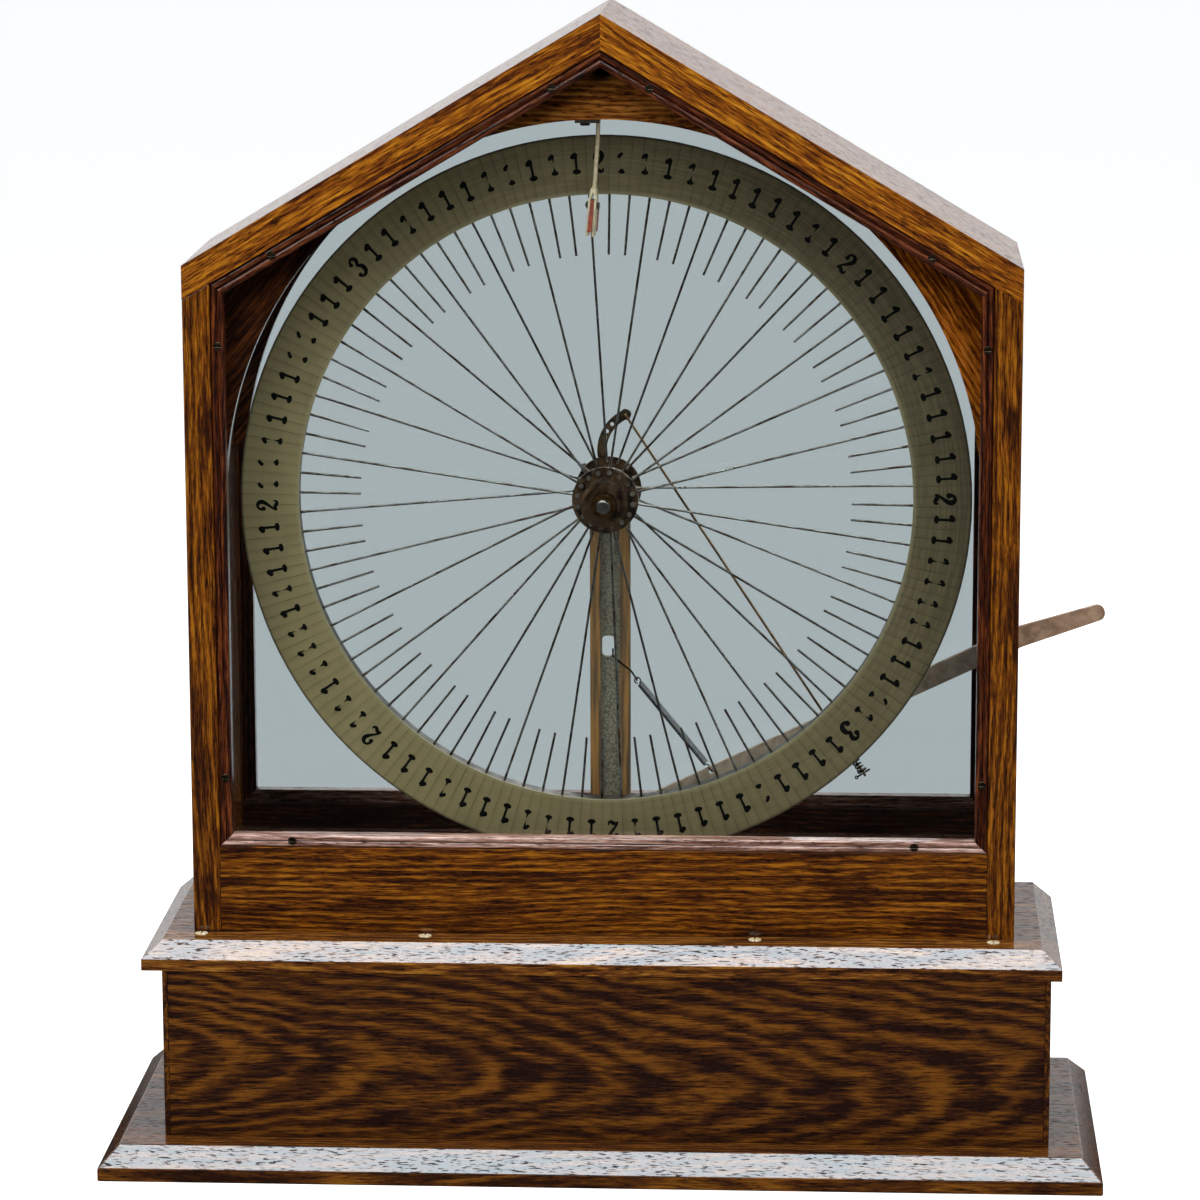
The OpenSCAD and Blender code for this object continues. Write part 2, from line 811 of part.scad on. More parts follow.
module rim() {
    back = dial_back + rim_depth;
    outer = rim_r + rim_flange;
    color(steel) difference() {
        turned([[rim_r, dial_back], [outer, dial_back], [outer, dial_back + rim_t],
            [rim_out, dial_back + rim_t], [rim_out, back - rim_t], [outer, back - rim_t],
            [outer, back], [rim_r, back]]);
        translate([0, 0, wheel_z]) for (i = [0 : pin_count - 1]) rotate([0, spoke_angle(i), 0])
            translate([0, 0, rim_r - 1]) cylinder(h = rim_t + 2, r = thread_r + fixed_gap, $fn = 24);
    }
}

module dial_plate() {
    color(dial_metal) difference() {
        bar_y(hub_at, dial_y, dial_back, dial_r, $fn = 240);
        bar_y(hub_at, dial_y - 1, dial_back + 1, dial_bore, $fn = 240);
    }
}

module flange_holes(y, odd) {
    translate([0, 0, wheel_z]) for (i = [0 : spoke_step : pin_count - 1])
        if ((i / spoke_step) % 2 == odd) rotate([0, spoke_angle(i), 0])
            translate([0, y - 1, spoke_circle]) rotate([-90, 0, 0])
                cylinder(h = flange_t + 2, r = wire_r + fixed_gap, $fn = 24);
}

module hub_shell() {
    reach = ball_r + run_gap;
    front_low = race_r - (ball_circle + reach / diag);
    fb = front_ball_y + reach / diag;
    rb = rear_ball_y - reach / diag;
    c = ball_circle + reach / diag;
    color(dark_steel) difference() {
        turned([[race_r, cup_y], [cup_r, cup_y], [cup_r, flange_y], [flange_r, flange_y],
            [flange_r, flange_y + flange_t], [barrel_r, flange_y + flange_t],
            [barrel_r, rear_flange_y], [flange_r, rear_flange_y], [flange_r, rear_flange_back],
            [rear_cup_r, rear_flange_back], [rear_cup_r, rear_cup_end], [race_r, rear_cup_end],
            [race_r, rb + race_r - c], [bore_r, rb + bore_r - c],
            [bore_r, fb - bore_r + c], [race_r, fb - race_r + c]]);
        flange_holes(flange_y, 1);
        flange_holes(rear_flange_y, 0);
        // Recess that seats the dust cap
        turned([[race_r - 1, cup_y - 1], [race_r + 0.6, cup_y - 1], [race_r + 0.6, cup_y + 2.6],
            [race_r - 1, cup_y + 2.6]]);
    }
}

module dust_cap() {
    color(dark_steel) turned([[cone_r + side_gap + 0.2, cup_y + 1.4],
        [race_r + 0.6 - fixed_gap, cup_y + 1.4],
        [race_r + 0.6 - fixed_gap, cup_y + 2.6], [cone_r + side_gap + 0.2, cup_y + 2.6]]);
}

module bearing_balls() {
    color(steel) translate([0, 0, wheel_z])
        for (y = [front_ball_y, rear_ball_y], i = [0 : ball_count - 1])
        rotate([0, 360 * (i + 0.5) / ball_count, 0]) translate([0, y, ball_circle])
            sphere(r = ball_r, $fn = 32);
}

// The cones' races lie across from the cups', on the axle's side of the balls
module cones() {
    reach = ball_r + race_gap;
    c = ball_circle - reach / diag;
    low = axle_r + fixed_gap;
    f = front_ball_y - reach / diag;
    r = rear_ball_y + reach / diag;
    color(steel) {
        turned([[low, f - low + c], [cone_r, f - cone_r + c], [cone_r, cup_y - cone_out],
            [low, cup_y - cone_out]]);
        turned([[low, r + low - c], [cone_r, r + cone_r - c], [cone_r, arm_y - side_gap],
            [low, arm_y - side_gap]]);
    }
}

module axle() {
    color(steel) difference() {
        union() {
            bar_y(hub_at, axle_y + 0.8, post_y + post_d + 5.3, axle_r);
            turned([[0, axle_y], [axle_r - 0.8, axle_y], [axle_r, axle_y + 0.8], [0, axle_y + 0.8]]);
        }
    }
}

module axle_spacer() {
    color(steel) turned([[axle_r + fixed_gap, spacer_y], [7, spacer_y], [7, post_y],
        [axle_r + fixed_gap, post_y]]);
}

module axle_nut() {
    color(steel) difference() {
        translate([0, post_y + post_d, wheel_z]) rotate([-90, 0, 0])
            cylinder(h = 4.5, r = 8.6, $fn = 6);
        bar_y(hub_at, post_y + post_d - 1, post_y + post_d + 6, axle_r + fixed_gap);
    }
}

// Ratchet, arm, pawl and rod

// The teeth's steep faces look back against the drive; each back slopes down to the next tooth
module ratchet_wheel() {
    pitch_a = 360 / ratchet_teeth;
    steep = pawl_angle + 17.75;
    color(dark_steel) difference() {
        plate([for (i = [0 : ratchet_teeth - 1]) let (a = steep + i * pitch_a)
            each [hub_at + clock(ratchet_r - tooth_h, a), hub_at + clock(ratchet_r, a + 0.2)]],
            ratchet_y, ratchet_y + ratchet_t);
        bar_y(hub_at, ratchet_y - 1, ratchet_y + ratchet_t + 1, rear_cup_r + fixed_gap);
    }
}

// Centre of the arm's bend: on the left of the rod's hole, so that the arm leaves it nearly level
bend_at = arm_hole + arm_bend * [cos(-66.3), sin(-66.3)];
bend_low = 195;

module arm_solid() {
    foot = bend_at + arm_bend * [cos(bend_low), sin(bend_low)];
    v = foot - hub_at;
    side = arm_w / 2 * [-v[1], v[0]] / norm(v);
    bar_y(hub_at, arm_y, arm_y + arm_t, arm_boss);
    past = v / norm(v);
    plate([hub_at - side, foot + past - side, foot + past + side, hub_at + side], arm_y, arm_y + arm_t);
    bar_y(foot, arm_y, arm_y + arm_t, arm_w / 2 + 0.3);
    intersection() {
        difference() {
            bar_y(bend_at, arm_y, arm_y + arm_t, arm_bend + arm_w / 2);
            bar_y(bend_at, arm_y - 1, arm_y + arm_t + 1, arm_bend - arm_w / 2);
        }
        plate([bend_at, bend_at + 60 * [cos(113.7), sin(113.7)], bend_at + 80 * [cos(155), sin(155)],
            bend_at + 60 * [cos(bend_low - 1), sin(bend_low - 1)]], arm_y - 1, arm_y + arm_t + 1);
    }
    bar_y(arm_hole, arm_y, arm_y + arm_t, arm_w / 2 + 0.4);
}

// Where the pawl's pin stands
pawl_at = hub_at + clock(pawl_x, pawl_angle);

module crank_arm() {
    w = 2.6;
    v = clock(1, pawl_angle);
    side = w * [-v[1], v[0]];
    color(dark_steel) {
        difference() {
            union() {
                arm_solid();
                plate([hub_at - side, pawl_at - side, pawl_at + side, hub_at + side], arm_y,
                    arm_y + arm_t);
                bar_y(pawl_at, arm_y, arm_y + arm_t, w);
            }
            bar_y(hub_at, arm_y - 1, arm_y + arm_t + 1, axle_r + run_gap);
            bar_y(arm_hole, arm_y - 1, arm_y + arm_t + 1, rod_r + run_gap);
            // Spare holes in the bend
            for (a = [138, 151])
                bar_y(bend_at + arm_bend * [cos(a), sin(a)], arm_y - 1, arm_y + arm_t + 1, 1.25);
        }
        // The pawl's pin is riveted into the arm
        bar_y(pawl_at, ratchet_y + 0.1, arm_y + 0.5, pawl_pin_r);
    }
}

// The pawl in its place just above the teeth; turned right by pawl_drop it meets them
pawl_drop = 13;
module pawl() {
    tip = pawl_x * 0.34;
    color(dark_steel) translate([pawl_at[0], 0, pawl_at[1]]) rotate([0, -pawl_drop, 0]) difference() {
        union() {
            plate([[0, -2.1], [2.2, -1.2], [4.3, -0.5], [tip, 0], [tip - 0.7, 1], [4.6, 1.9], [0, 2.1]],
                ratchet_y + 0.1, ratchet_y + ratchet_t - 0.1);
            bar_y([0, 0], ratchet_y + 0.1, ratchet_y + ratchet_t - 0.1, 2.1);
        }
        bar_y([0, 0], ratchet_y - 1, ratchet_y + ratchet_t + 1, pawl_pin_r + run_gap);
    }
}

// A point on the rod at a distance from the arm's hole, and one beside it
function on_rod(s, off = 0) = let (p = arm_hole + s * rod_dir + off * [-rod_dir[1], rod_dir[0]])
    [p[0], rod_y, p[1]];

module pull_rod() {
    end = on_rod(rod_len + rod_tail);
    color(steel) difference() {
        wire([[arm_hole[0], arm_y + arm_t + 1.5, arm_hole[1]], on_rod(0), end], rod_r);
        along_rod(rod_len + rod_tail - 2.2) rotate([0, 90, 0])
            cylinder(h = 6, r = cotter_r + fixed_gap, center = true, $fn = 24);
    }
}

// Frame on the rod with Z along it
module along_rod(s) {
    translate(on_rod(s)) rotate([0, 90 - rod_tilt, 0]) children();
}

cushion_start = 9.5;
cotter_r = 0.4;
cotter_len = 9.6;
washer_t = 1;
washer_end = 3.6;
cushion_len = rod_tail - washer_end - washer_t - cushion_start;

module rod_spring() {
    r = cushion_r - cushion_wire;
    dead = 0.75;
    room = cushion_len - 2 * cushion_wire;
    closed = 2 * cushion_wire + 0.45;
    n = 8;
    steps = cushion_curls * n;
    open_pitch = (room - 2 * closed * dead) / (cushion_curls - 2 * dead);
    function height(t) = t < dead ? closed * t
        : t > cushion_curls - dead ? room - closed * (cushion_curls - t)
        : closed * dead + open_pitch * (t - dead);
    pts = [for (i = [0 : steps]) let (t = i / n)
        [r * cos(360 * t), r * sin(360 * t), height(t) + cushion_wire]];
    lead = concat([pts[0] - [0, 2 * cushion_wire, 0]], pts, [pts[steps] + [0, 2 * cushion_wire, 0]]);
    echo("least gap in cushion spring", least_gap(pts, n, cushion_wire));
    color(dark_steel) along_rod(rod_len + cushion_start) tube(lead, cushion_wire, [1, 0, 0]);
}

module rod_washer() {
    color(steel) along_rod(rod_len + rod_tail - washer_end - washer_t) difference() {
        cylinder(h = washer_t, r = cushion_r + 0.3);
        translate([0, 0, -1]) cylinder(h = washer_t + 2, r = rod_r + fixed_gap);
    }
}

module cotter_pin() {
    near = rod_r + 0.5;
    color(steel) along_rod(rod_len + rod_tail - 2.2) {
        rotate([0, 90, 0]) cylinder(h = 2 * near + 1, r = cotter_r, center = true, $fn = 24);
        for (s = [-1, 1]) rotate([0, s * 90, 0]) translate([0, 0, near])
            cylinder(h = cotter_len / 2 - near, r = 0.6, $fn = 24);
        translate([cotter_len / 2 + 0.4, 0, 0]) rotate([90, 0, 0]) difference() {
            cylinder(h = 1, r = 1.2, center = true, $fn = 24);
            cylinder(h = 2, r = 0.5, center = true, $fn = 24);
        }
    }
}

// Lever

// Outline of the lever at rest: a straight bar, bent a little flatter for the handle
bar_dir = [cos(lever_angle), sin(lever_angle)];
bar_up = [-bar_dir[1], bar_dir[0]];
grip_dir = [cos(handle_angle), sin(handle_angle)];
grip_up = [-grip_dir[1], grip_dir[0]];
bend_point = lever_at + handle_x / cos(lever_angle) * bar_dir;
tip_point = bend_point + handle_len * grip_dir;
bend_up = (bar_up + grip_up) / norm(bar_up + grip_up);

// Hole for the return spring's hook, near the bar's upper edge
spring_hole_at = 72.9;
spring_hole_up = 3.2;
spring_hole = lever_at + spring_hole_at * bar_dir + spring_hole_up * bar_up;
spring_hole_r = 1.6;

module lever() {
    h = lever_w / 2;
    k = handle_tip / 2;
    y1 = lever_y + lever_t;
    color(steel) difference() {
        union() {
            plate([lever_at - h * bar_up, bend_point - h * bend_up, tip_point - k * grip_up,
                tip_point + k * grip_up, bend_point + h * bend_up, lever_at + h * bar_up], lever_y, y1);
            bar_y(lever_at, lever_y, y1, h);
            bar_y(tip_point, lever_y, y1, k);
        }
        bar_y(lever_at, lever_y - 1, y1 + 1, bolt_r + run_gap);
        bar_y(spring_hole, lever_y - 1, y1 + 1, spring_hole_r);
        for (s = [-3, 6]) bar_y(lug_point + s * bar_dir, lever_y - 1, y1 + 1, 1 + fixed_gap);
    }
}

// Lug on the lever's front with a long slot, so that the rod can find its own angle
module rod_lug() {
    w = 11;
    y0 = rod_y - rod_r - 2.2;
    color(steel) {
        difference() {
            translate([lug_point[0], 0, lug_point[1]]) rotate([0, 90 - rod_tilt, 0])
                translate([-w / 2 - 0.9, y0, -4]) cube([w, lever_y - y0, 12]);
            translate([lug_point[0], 0, lug_point[1]]) rotate([0, 90 - rod_tilt, 0])
                translate([-3.8, rod_y - rod_r - side_gap, -5]) cube([5.7, 2 * (rod_r + side_gap), 14]);
        }
        for (s = [-3, 6]) bar_y(lug_point + s * bar_dir, lever_y, lever_y + lever_t, 1);
    }
}

module lever_bolt() {
    color(steel) {
        difference() {
            bar_y(lever_at, lever_y - side_gap - 2.6, lever_y - side_gap, bolt_r + 2.6);
            translate([0, lever_y - side_gap - 2.6, lever_at[1]]) cube([20, 1.6, 1.2], center = true);
        }
        bar_y(lever_at, lever_y - side_gap, post_y + post_d + 0.5, bolt_r);
    }
}

module plate_screw_holes() {
    for (s = [-1, 1]) translate([half - 14, lever_mid, plate_mid + s * plate_screw_gap / 2])
        rotate([0, 90, 0]) cylinder(h = 20, r = 1.7 + fixed_gap);
}

module slot_plate() {
    color(brass) difference() {
        union() {
            translate([half, lever_mid - plate_w / 2, plate_mid - plate_h / 2 + plate_w / 2])
                cube([plate_t, plate_w, plate_h - plate_w]);
            for (s = [-1, 1]) translate([half, lever_mid, plate_mid + s * (plate_h - plate_w) / 2])
                rotate([0, 90, 0]) cylinder(h = plate_t, r = plate_w / 2);
        }
        translate([half - 1, lever_mid - slot_t / 2, plate_slot_low])
            cube([plate_t + 2, slot_t, slot_high - plate_slot_low]);
        plate_screw_holes();
    }
}

module slot_plate_screws() {
    color(brass) for (s = [-1, 1])
        translate([half, lever_mid, plate_mid + s * plate_screw_gap / 2]) difference() {
        rotate([0, 90, 0]) rotate_extrude() polygon(concat([[0, plate_t]], [for (a = [0 : 15 : 90])
            [plate_screw_r * cos(a), plate_t + plate_screw_r * 0.6 * sin(a)]]));
        translate([plate_t + 1.7, 0, 0]) cube([1.6, 8, 0.7], center = true);
    }
    color(brass) for (s = [-1, 1])
        translate([half - 13, lever_mid, plate_mid + s * plate_screw_gap / 2])
        rotate([0, 90, 0]) cylinder(h = 13 + plate_t, r = 1.7);
}

// Post

web_slot = [-5.4, 2.7];
web_slot_low = 153.4;
web_slot_high = 166.7;
slot_round = 2.6;

// A box in X and Z with its corners rounded
function round_box(low, high, r) = [for (c = [[high, 0], [[low[0], high[1]], 90], [low, 180],
    [[high[0], low[1]], 270]], a = [0 : 22.5 : 90]) c[0] - r * diag * [cos(c[1] + 45), sin(c[1] + 45)]
    + r * [cos(c[1] + a), sin(c[1] + a)]];
post_screw_x = 17.5;
post_screw_y = [6, 20];

module post_holes() {
    for (s = [-1, 1], y = post_screw_y)
        translate([s * post_screw_x, post_y - foot_reach + y, floor_z - 12])
        cylinder(h = foot_t + 20, r = 1.8 + fixed_gap);
}

module post() {
    y1 = post_y + post_d;
    color(steel) difference() {
        union() {
            translate([-post_w / 2, post_y, floor_z]) cube([post_w, post_d, axle_h]);
            bar_y(hub_at, post_y, y1, post_w / 2);
            bar_y(lever_at, lever_y + lever_t + side_gap, y1, bolt_r + 4);
            translate([-foot_x, post_y - foot_reach, floor_z])
                cube([2 * foot_x, foot_reach + post_d, foot_t]);
        }
        // The channel down its front stops at the two bosses
        difference() {
            translate([post_flange - post_w / 2, post_y - 1, floor_z + foot_t])
                cube([post_w - 2 * post_flange, post_d - web_t + 1, axle_h - foot_t]);
            bar_y(hub_at, post_y - 2, y1, post_w / 2);
            bar_y(lever_at, lever_y, y1, bolt_r + 4);
        }
        bar_y(hub_at, post_y - 1, y1 + 1, axle_r + fixed_gap);
        bar_y(lever_at, lever_y, y1 + 1, bolt_r + fixed_gap);
        plate(round_box([web_slot[0], floor_z + web_slot_low], [web_slot[1], floor_z + web_slot_high],
            slot_round), post_y, post_y + post_d + 1);
        post_holes();
    }
}

module post_screws() {
    color(dark_steel) for (s = [-1, 1], y = post_screw_y)
        translate([s * post_screw_x, post_y - foot_reach + y, floor_z]) {
            translate([0, 0, foot_t]) cylinder(h = 2, r = 3.6);
            translate([0, 0, -11]) cylinder(h = 11 + foot_t, r = 1.8);
        }
}

// Return spring

spring_top = [19.1, lever_mid, floor_z + web_slot_low - 15.4];
spring_end = [spring_hole[0] - 3.38, lever_mid, spring_hole[1] + 5.25];

module return_spring() {
    v = spring_end - spring_top;
    length = norm(v);
    r = spring_r - spring_wire;
    n = 8;
    steps = spring_curls * n;
    eye = 1.9;
    hook = 3;
    // Along the spring's own Z from its top, with X turned to face along the case's depth
    top_loop = [for (a = [215 : 29 : 505]) [0, eye * sin(a), -eye - 0.6 - eye * cos(a)]];
    coil = [for (i = [0 : steps]) let (t = i / n)
        [r * cos(360 * t), r * sin(360 * t), length * i / steps]];
    low_loop = [for (a = [200 : 25 : 500]) [hook * sin(a), 0, length + 0.9 + hook + hook * cos(a)]];
    path = concat(top_loop, [[0.9, 0, -0.5]], coil, [[r * 0.6, 0, length + 0.6]], low_loop);
    echo("least gap in return spring", least_gap(coil, n, spring_wire));
    dir = v / length;
    color([0.1, 0.1, 0.1]) translate(spring_top)
        rotate([0, acos(dir[2]), atan2(dir[1], dir[0])]) rotate([0, 0, 90])
            tube(path, spring_wire, [1, 0, 0]);
}

module spring_link() {
    z = floor_z + web_slot_low + 0.8;
    hook_x = web_slot[1] - 1.4;
    hook_z = z + 0.35;
    hook_y = post_y + post_d + 0.8;
    color(steel) wire([[hook_x, hook_y, hook_z + 3], [hook_x, hook_y, hook_z],
        [hook_x, post_y + 2, hook_z], [6, post_y - 0.9, z - 3], [13.2, post_y - 1.1, z - 8.7],
        [16.9, lever_mid + 1.7, z - 13.7], [17, lever_mid - 2.3, z - 13.7],
        [17.4, lever_mid - 3.6, z - 11.8]], 0.6);
}

// Pointer and flap

pointer_screw_at = [-10, arch_y + arch_t / 2];
arc_top = arc_z + arch_r;
clamp_z = wheel_z + flap_z + flap_h + 1.9;
fork_x = flap_x - 2;
pointer_foot_z = arc_z + sqrt(pow(arch_r, 2) - pow(pointer_screw_at[0] - 6, 2)) - 1.65;

module pointer_screw_hole() {
    translate([pointer_screw_at[0], pointer_screw_at[1], arc_top - 4])
        cylinder(h = 22, r = 1.7 + fixed_gap);
}

// Where the fork stands, turned as the leather between its tines is
askew = atan2(fork_x - flap_x, -pointer_y);
flap_reach = norm([pointer_y, fork_x - flap_x]);
flap_low = wheel_z + flap_z;
crown_h = 10.5;

// The fork and its flap lean over about the flap's foot
module leaning() {
    translate([flap_x, 0, flap_low]) rotate([0, fork_lean, 0]) translate([-flap_x, 0, -flap_low])
        children();
}

function leant(x, z) = [flap_x + (x - flap_x) * cos(fork_lean) + (z - flap_low) * sin(fork_lean),
    flap_low - (x - flap_x) * sin(fork_lean) + (z - flap_low) * cos(fork_lean)];

module at_fork() {
    leaning() translate([fork_x, pointer_y, 0]) rotate([0, 0, askew]) children();
}

module pointer() {
    foot_z = pointer_foot_z;
    crown = leant(fork_x, clamp_z + crown_h - 1);
    w1 = flap_t / 2 + fixed_gap;
    w2 = w1 + tine_t;
    color(nickel) difference() {
        union() {
            translate([pointer_screw_at[0] - 6, arch_y, foot_z]) cube([15, 9, 1.6]);
            translate([pointer_screw_at[0] + 2, pointer_y - 2, foot_z])
                cube([7, arch_y + arch_t - pointer_y - 6, 1.6]);
            translate([pointer_screw_at[0] + 2, arch_y + 4, foot_z])
                cube([7, pointer_y - arch_y - 2, 1.6]);
            wire([[-3, pointer_y, foot_z + 0.8], [-3.5, pointer_y, wheel_z + dial_r - 3],
                [crown[0], pointer_y, crown[1]]], stem_r);
            at_fork() {
                // The fork's crown, where its two strips bend in to the stem
                translate([0, 0, clamp_z]) rotate([90, 0, 0]) linear_extrude(6, center = true)
                    polygon([[-w2, 2.4], [-w2, 4.4], [-1.7, crown_h], [1.7, crown_h], [w2, 4.4],
                        [w2, 2.4], [w1, 2.4], [w1, 3.9], [0, crown_h - 1.9], [-w1, 3.9], [-w1, 2.4]]);
                for (s = [-1, 1]) translate([s < 0 ? -w2 : w1, -4, flap_low - 0.8])
                    cube([tine_t, 8, clamp_z + 4.2 - flap_low + 0.8]);
            }
        }
        translate([pointer_screw_at[0], pointer_screw_at[1], foot_z - 1])
            cylinder(h = 4, r = 1.7 + fixed_gap);
        at_fork() translate([-10, 0, clamp_z]) rotate([0, 90, 0]) cylinder(h = 20, r = 1.3 + fixed_gap);
    }
}

module pointer_screw() {
    z = pointer_foot_z;
    color(nickel) translate([pointer_screw_at[0], pointer_screw_at[1], 0]) {
        translate([0, 0, z]) cylinder(h = arc_top + 17 - z, r = 1.7);
        translate([0, 0, z - 1.8]) cylinder(h = 1.8, r = 3);
    }
}

// The leather stands on edge between two pins and is a little askew, as the pins leave it
module flap() {
    top = flap_low + flap_h;
    low = flap_low;
    color([0.45, 0.12, 0.08]) leaning()
    translate([flap_x, 0, 0]) rotate([0, 0, askew - 180]) difference() {
        translate([-flap_t / 2, -1, 0]) rotate([90, 0, 90]) linear_extrude(flap_t)
            polygon([[0, low], [0, top], [8, top], [12, clamp_z + 3.3], [20, clamp_z + 3.3],
                [23, top - 4], [23, low + 2], [11, low + 4]]);
        translate([-5, flap_reach, clamp_z]) rotate([0, 90, 0]) cylinder(h = 10, r = 1.5);
    }
}

module flap_bolt() {
    x1 = flap_t / 2 + tine_t + fixed_gap;
    x0 = -x1;
    color(nickel) at_fork() translate([0, 0, clamp_z]) rotate([0, 90, 0]) {
        translate([0, 0, x0 - 1]) cylinder(h = x1 - x0 + 2.6, r = 1.3);
        intersection() {
            translate([0, 0, x0 + 0.2]) sphere(r = 2.6, $fn = 32);
            translate([0, 0, x0 - 4]) cylinder(h = 4, r = 3);
        }
        translate([0, 0, x1]) cylinder(h = 1.6, r = 2.1, $fn = 6);
    }
}

lower_plinth();
box_front();
box_back();
box_left();
box_right();
box_cleats();
upper_plinth();
plinth_screws();
side_left();
side_right();
roof_left();
roof_right();
rail_front();
rail_back();
gable_front();
gable_back();
bracket_front_left();
bracket_front_right();
bracket_back_left();
bracket_back_right();
arch_screws();
glass_front();
glass_back();
beads_front();
beads_back();
bead_screws();
slot_plate();
slot_plate_screws();
post();
post_screws();
axle();
axle_nut();
cones();
axle_spacer();
bearing_balls();
hub_shell();
dust_cap();
spokes_front();
spokes_rear();
stub_pins();
rim();
dial_plate();
ratchet_wheel();
crank_arm();
pawl();
pull_rod();
rod_spring();
rod_washer();
cotter_pin();
lever();
rod_lug();
lever_bolt();
return_spring();
spring_link();
pointer();
pointer_screw();
flap();
flap_bolt();
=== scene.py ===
"""Tabletop game of chance in a gabled oak case.

Finishes, figures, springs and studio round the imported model.
"""

import json
import math

import bpy
from mathutils import Matrix, Vector


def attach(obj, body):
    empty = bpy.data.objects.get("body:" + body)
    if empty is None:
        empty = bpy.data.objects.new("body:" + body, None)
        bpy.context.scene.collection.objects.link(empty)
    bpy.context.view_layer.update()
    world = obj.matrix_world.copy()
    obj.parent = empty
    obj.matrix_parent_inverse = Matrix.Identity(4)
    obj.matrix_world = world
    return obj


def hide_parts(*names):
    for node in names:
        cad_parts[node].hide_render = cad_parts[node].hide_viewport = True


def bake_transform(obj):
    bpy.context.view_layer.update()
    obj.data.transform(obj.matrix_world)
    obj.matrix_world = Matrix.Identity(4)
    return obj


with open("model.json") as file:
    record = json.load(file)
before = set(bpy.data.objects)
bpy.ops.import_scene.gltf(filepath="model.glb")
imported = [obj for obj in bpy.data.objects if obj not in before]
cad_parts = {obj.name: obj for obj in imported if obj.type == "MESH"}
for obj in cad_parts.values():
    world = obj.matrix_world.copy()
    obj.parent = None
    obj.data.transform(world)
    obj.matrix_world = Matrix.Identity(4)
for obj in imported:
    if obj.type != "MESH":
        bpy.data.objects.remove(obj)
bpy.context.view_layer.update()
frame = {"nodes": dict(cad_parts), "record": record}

MM = 0.001
AXLE_Z = 408.0        # wheel's axle above the underside of the plinth
PIN_STEP = 3.75       # degrees from one pin or figure to the next
FIRST_FIGURE = -1.03  # clock angle of the figure under the pointer, in degrees
DIAL_FRONT = -7.0     # Y of the number plate's face
DIAL_EDGE = 226.0     # radius of the number plate
DIAL_HOLE = 189.8     # radius of the hole in it
ROOF_PITCH = 30.85    # degrees
RAIL_TOP = 197.0      # top of the bottom rail
POINTER_FOOT = 644.3  # underside of the pointer's foot
FIGURES = 96          # figures round the plate, one to a pin
FIGURE_FOOT = 202.6   # radius at which a figure stands
WAVE_RING = 0.314     # one ring of a wave texture in its own units
BEAD_STRIP = 7.6      # a bead face lower than this above RAIL_TOP and
BEAD_INNER = 229.4    # nearer the middle than this takes the bottom strip's grain
BEAD_SIDE = 228.9     # a bead face further out than this takes the side strips' grain
PORE = "#100704"      # the open pores of the oak

body_of_node = {}
for body, members in frame["record"]["behaviour"]["bodies"].items():
    for member in members:
        body_of_node[member] = body


# Camera and studio

def place_camera():
    """The photograph's long lens, above the roof and right of the middle, looking down."""
    yaw = -0.053844
    pitch = -0.199327
    roll = -0.002559
    ahead = Vector((math.sin(yaw) * math.cos(pitch), math.cos(yaw) * math.cos(pitch), math.sin(pitch)))
    side = Vector((math.cos(yaw), -math.sin(yaw), 0))
    up = side.cross(ahead)
    right = math.cos(roll) * side + math.sin(roll) * up
    top = math.cos(roll) * up - math.sin(roll) * side
    lens = bpy.data.cameras.new("camera")
    lens.sensor_width = 36
    lens.lens = 141
    lens.clip_start = 0.05
    lens.clip_end = 60
    camera = bpy.data.objects.new("camera", lens)
    camera.matrix_world = Matrix((
        (right.x, top.x, -ahead.x, 0.150395),
        (right.y, top.y, -ahead.y, -2.859056),
        (right.z, top.z, -ahead.z, 0.922362),
        (0, 0, 0, 1)))
    bpy.context.scene.collection.objects.link(camera)
    bpy.context.scene.camera = camera


def colour(hexa):
    """An sRGB hex value as linear red, green, blue and alpha."""
    parts = [int(hexa[i:i + 2], 16) / 255 for i in (1, 3, 5)]
    return tuple(p / 12.92 if p <= 0.04045 else ((p + 0.055) / 1.055) ** 2.4 for p in parts) + (1,)


def add(tree, kind, inputs=None, out=0, **settings):
    """One shader node with its settings and links. Gives back the output that the next node takes."""
    made = tree.nodes.new("ShaderNode" + kind)
    for key, value in settings.items():
        setattr(made, key, value)
    for key, value in (inputs or {}).items():
        if isinstance(value, bpy.types.NodeSocket):
            tree.links.new(value, made.inputs[key])
        else:
            made.inputs[key].default_value = value
    return made.outputs[out] if made.outputs else made


def lamp(name, at, toward, size, power, tint=(1, 1, 1)):
    """A soft box. Gives back its object."""
    light = bpy.data.lights.new(name, "AREA")
    light.color = tint
    light.shape = "RECTANGLE"
    light.size, light.size_y = size
    light.energy = power
    box = bpy.data.objects.new(name, light)
    box.location = at
    box.rotation_euler = (Vector(toward) - Vector(at)).to_track_quat("-Z", "Y").to_euler()
    box.visible_camera = False
    bpy.context.scene.collection.objects.link(box)
    return box


HAZE = "#b8c1c4"      # what shows behind the wheel through both panes
DARK_ROOM = "#141415"  # what gloss shows ahead of the object
PALE_ROOM = "#dde0e2"  # what gloss shows above and behind it


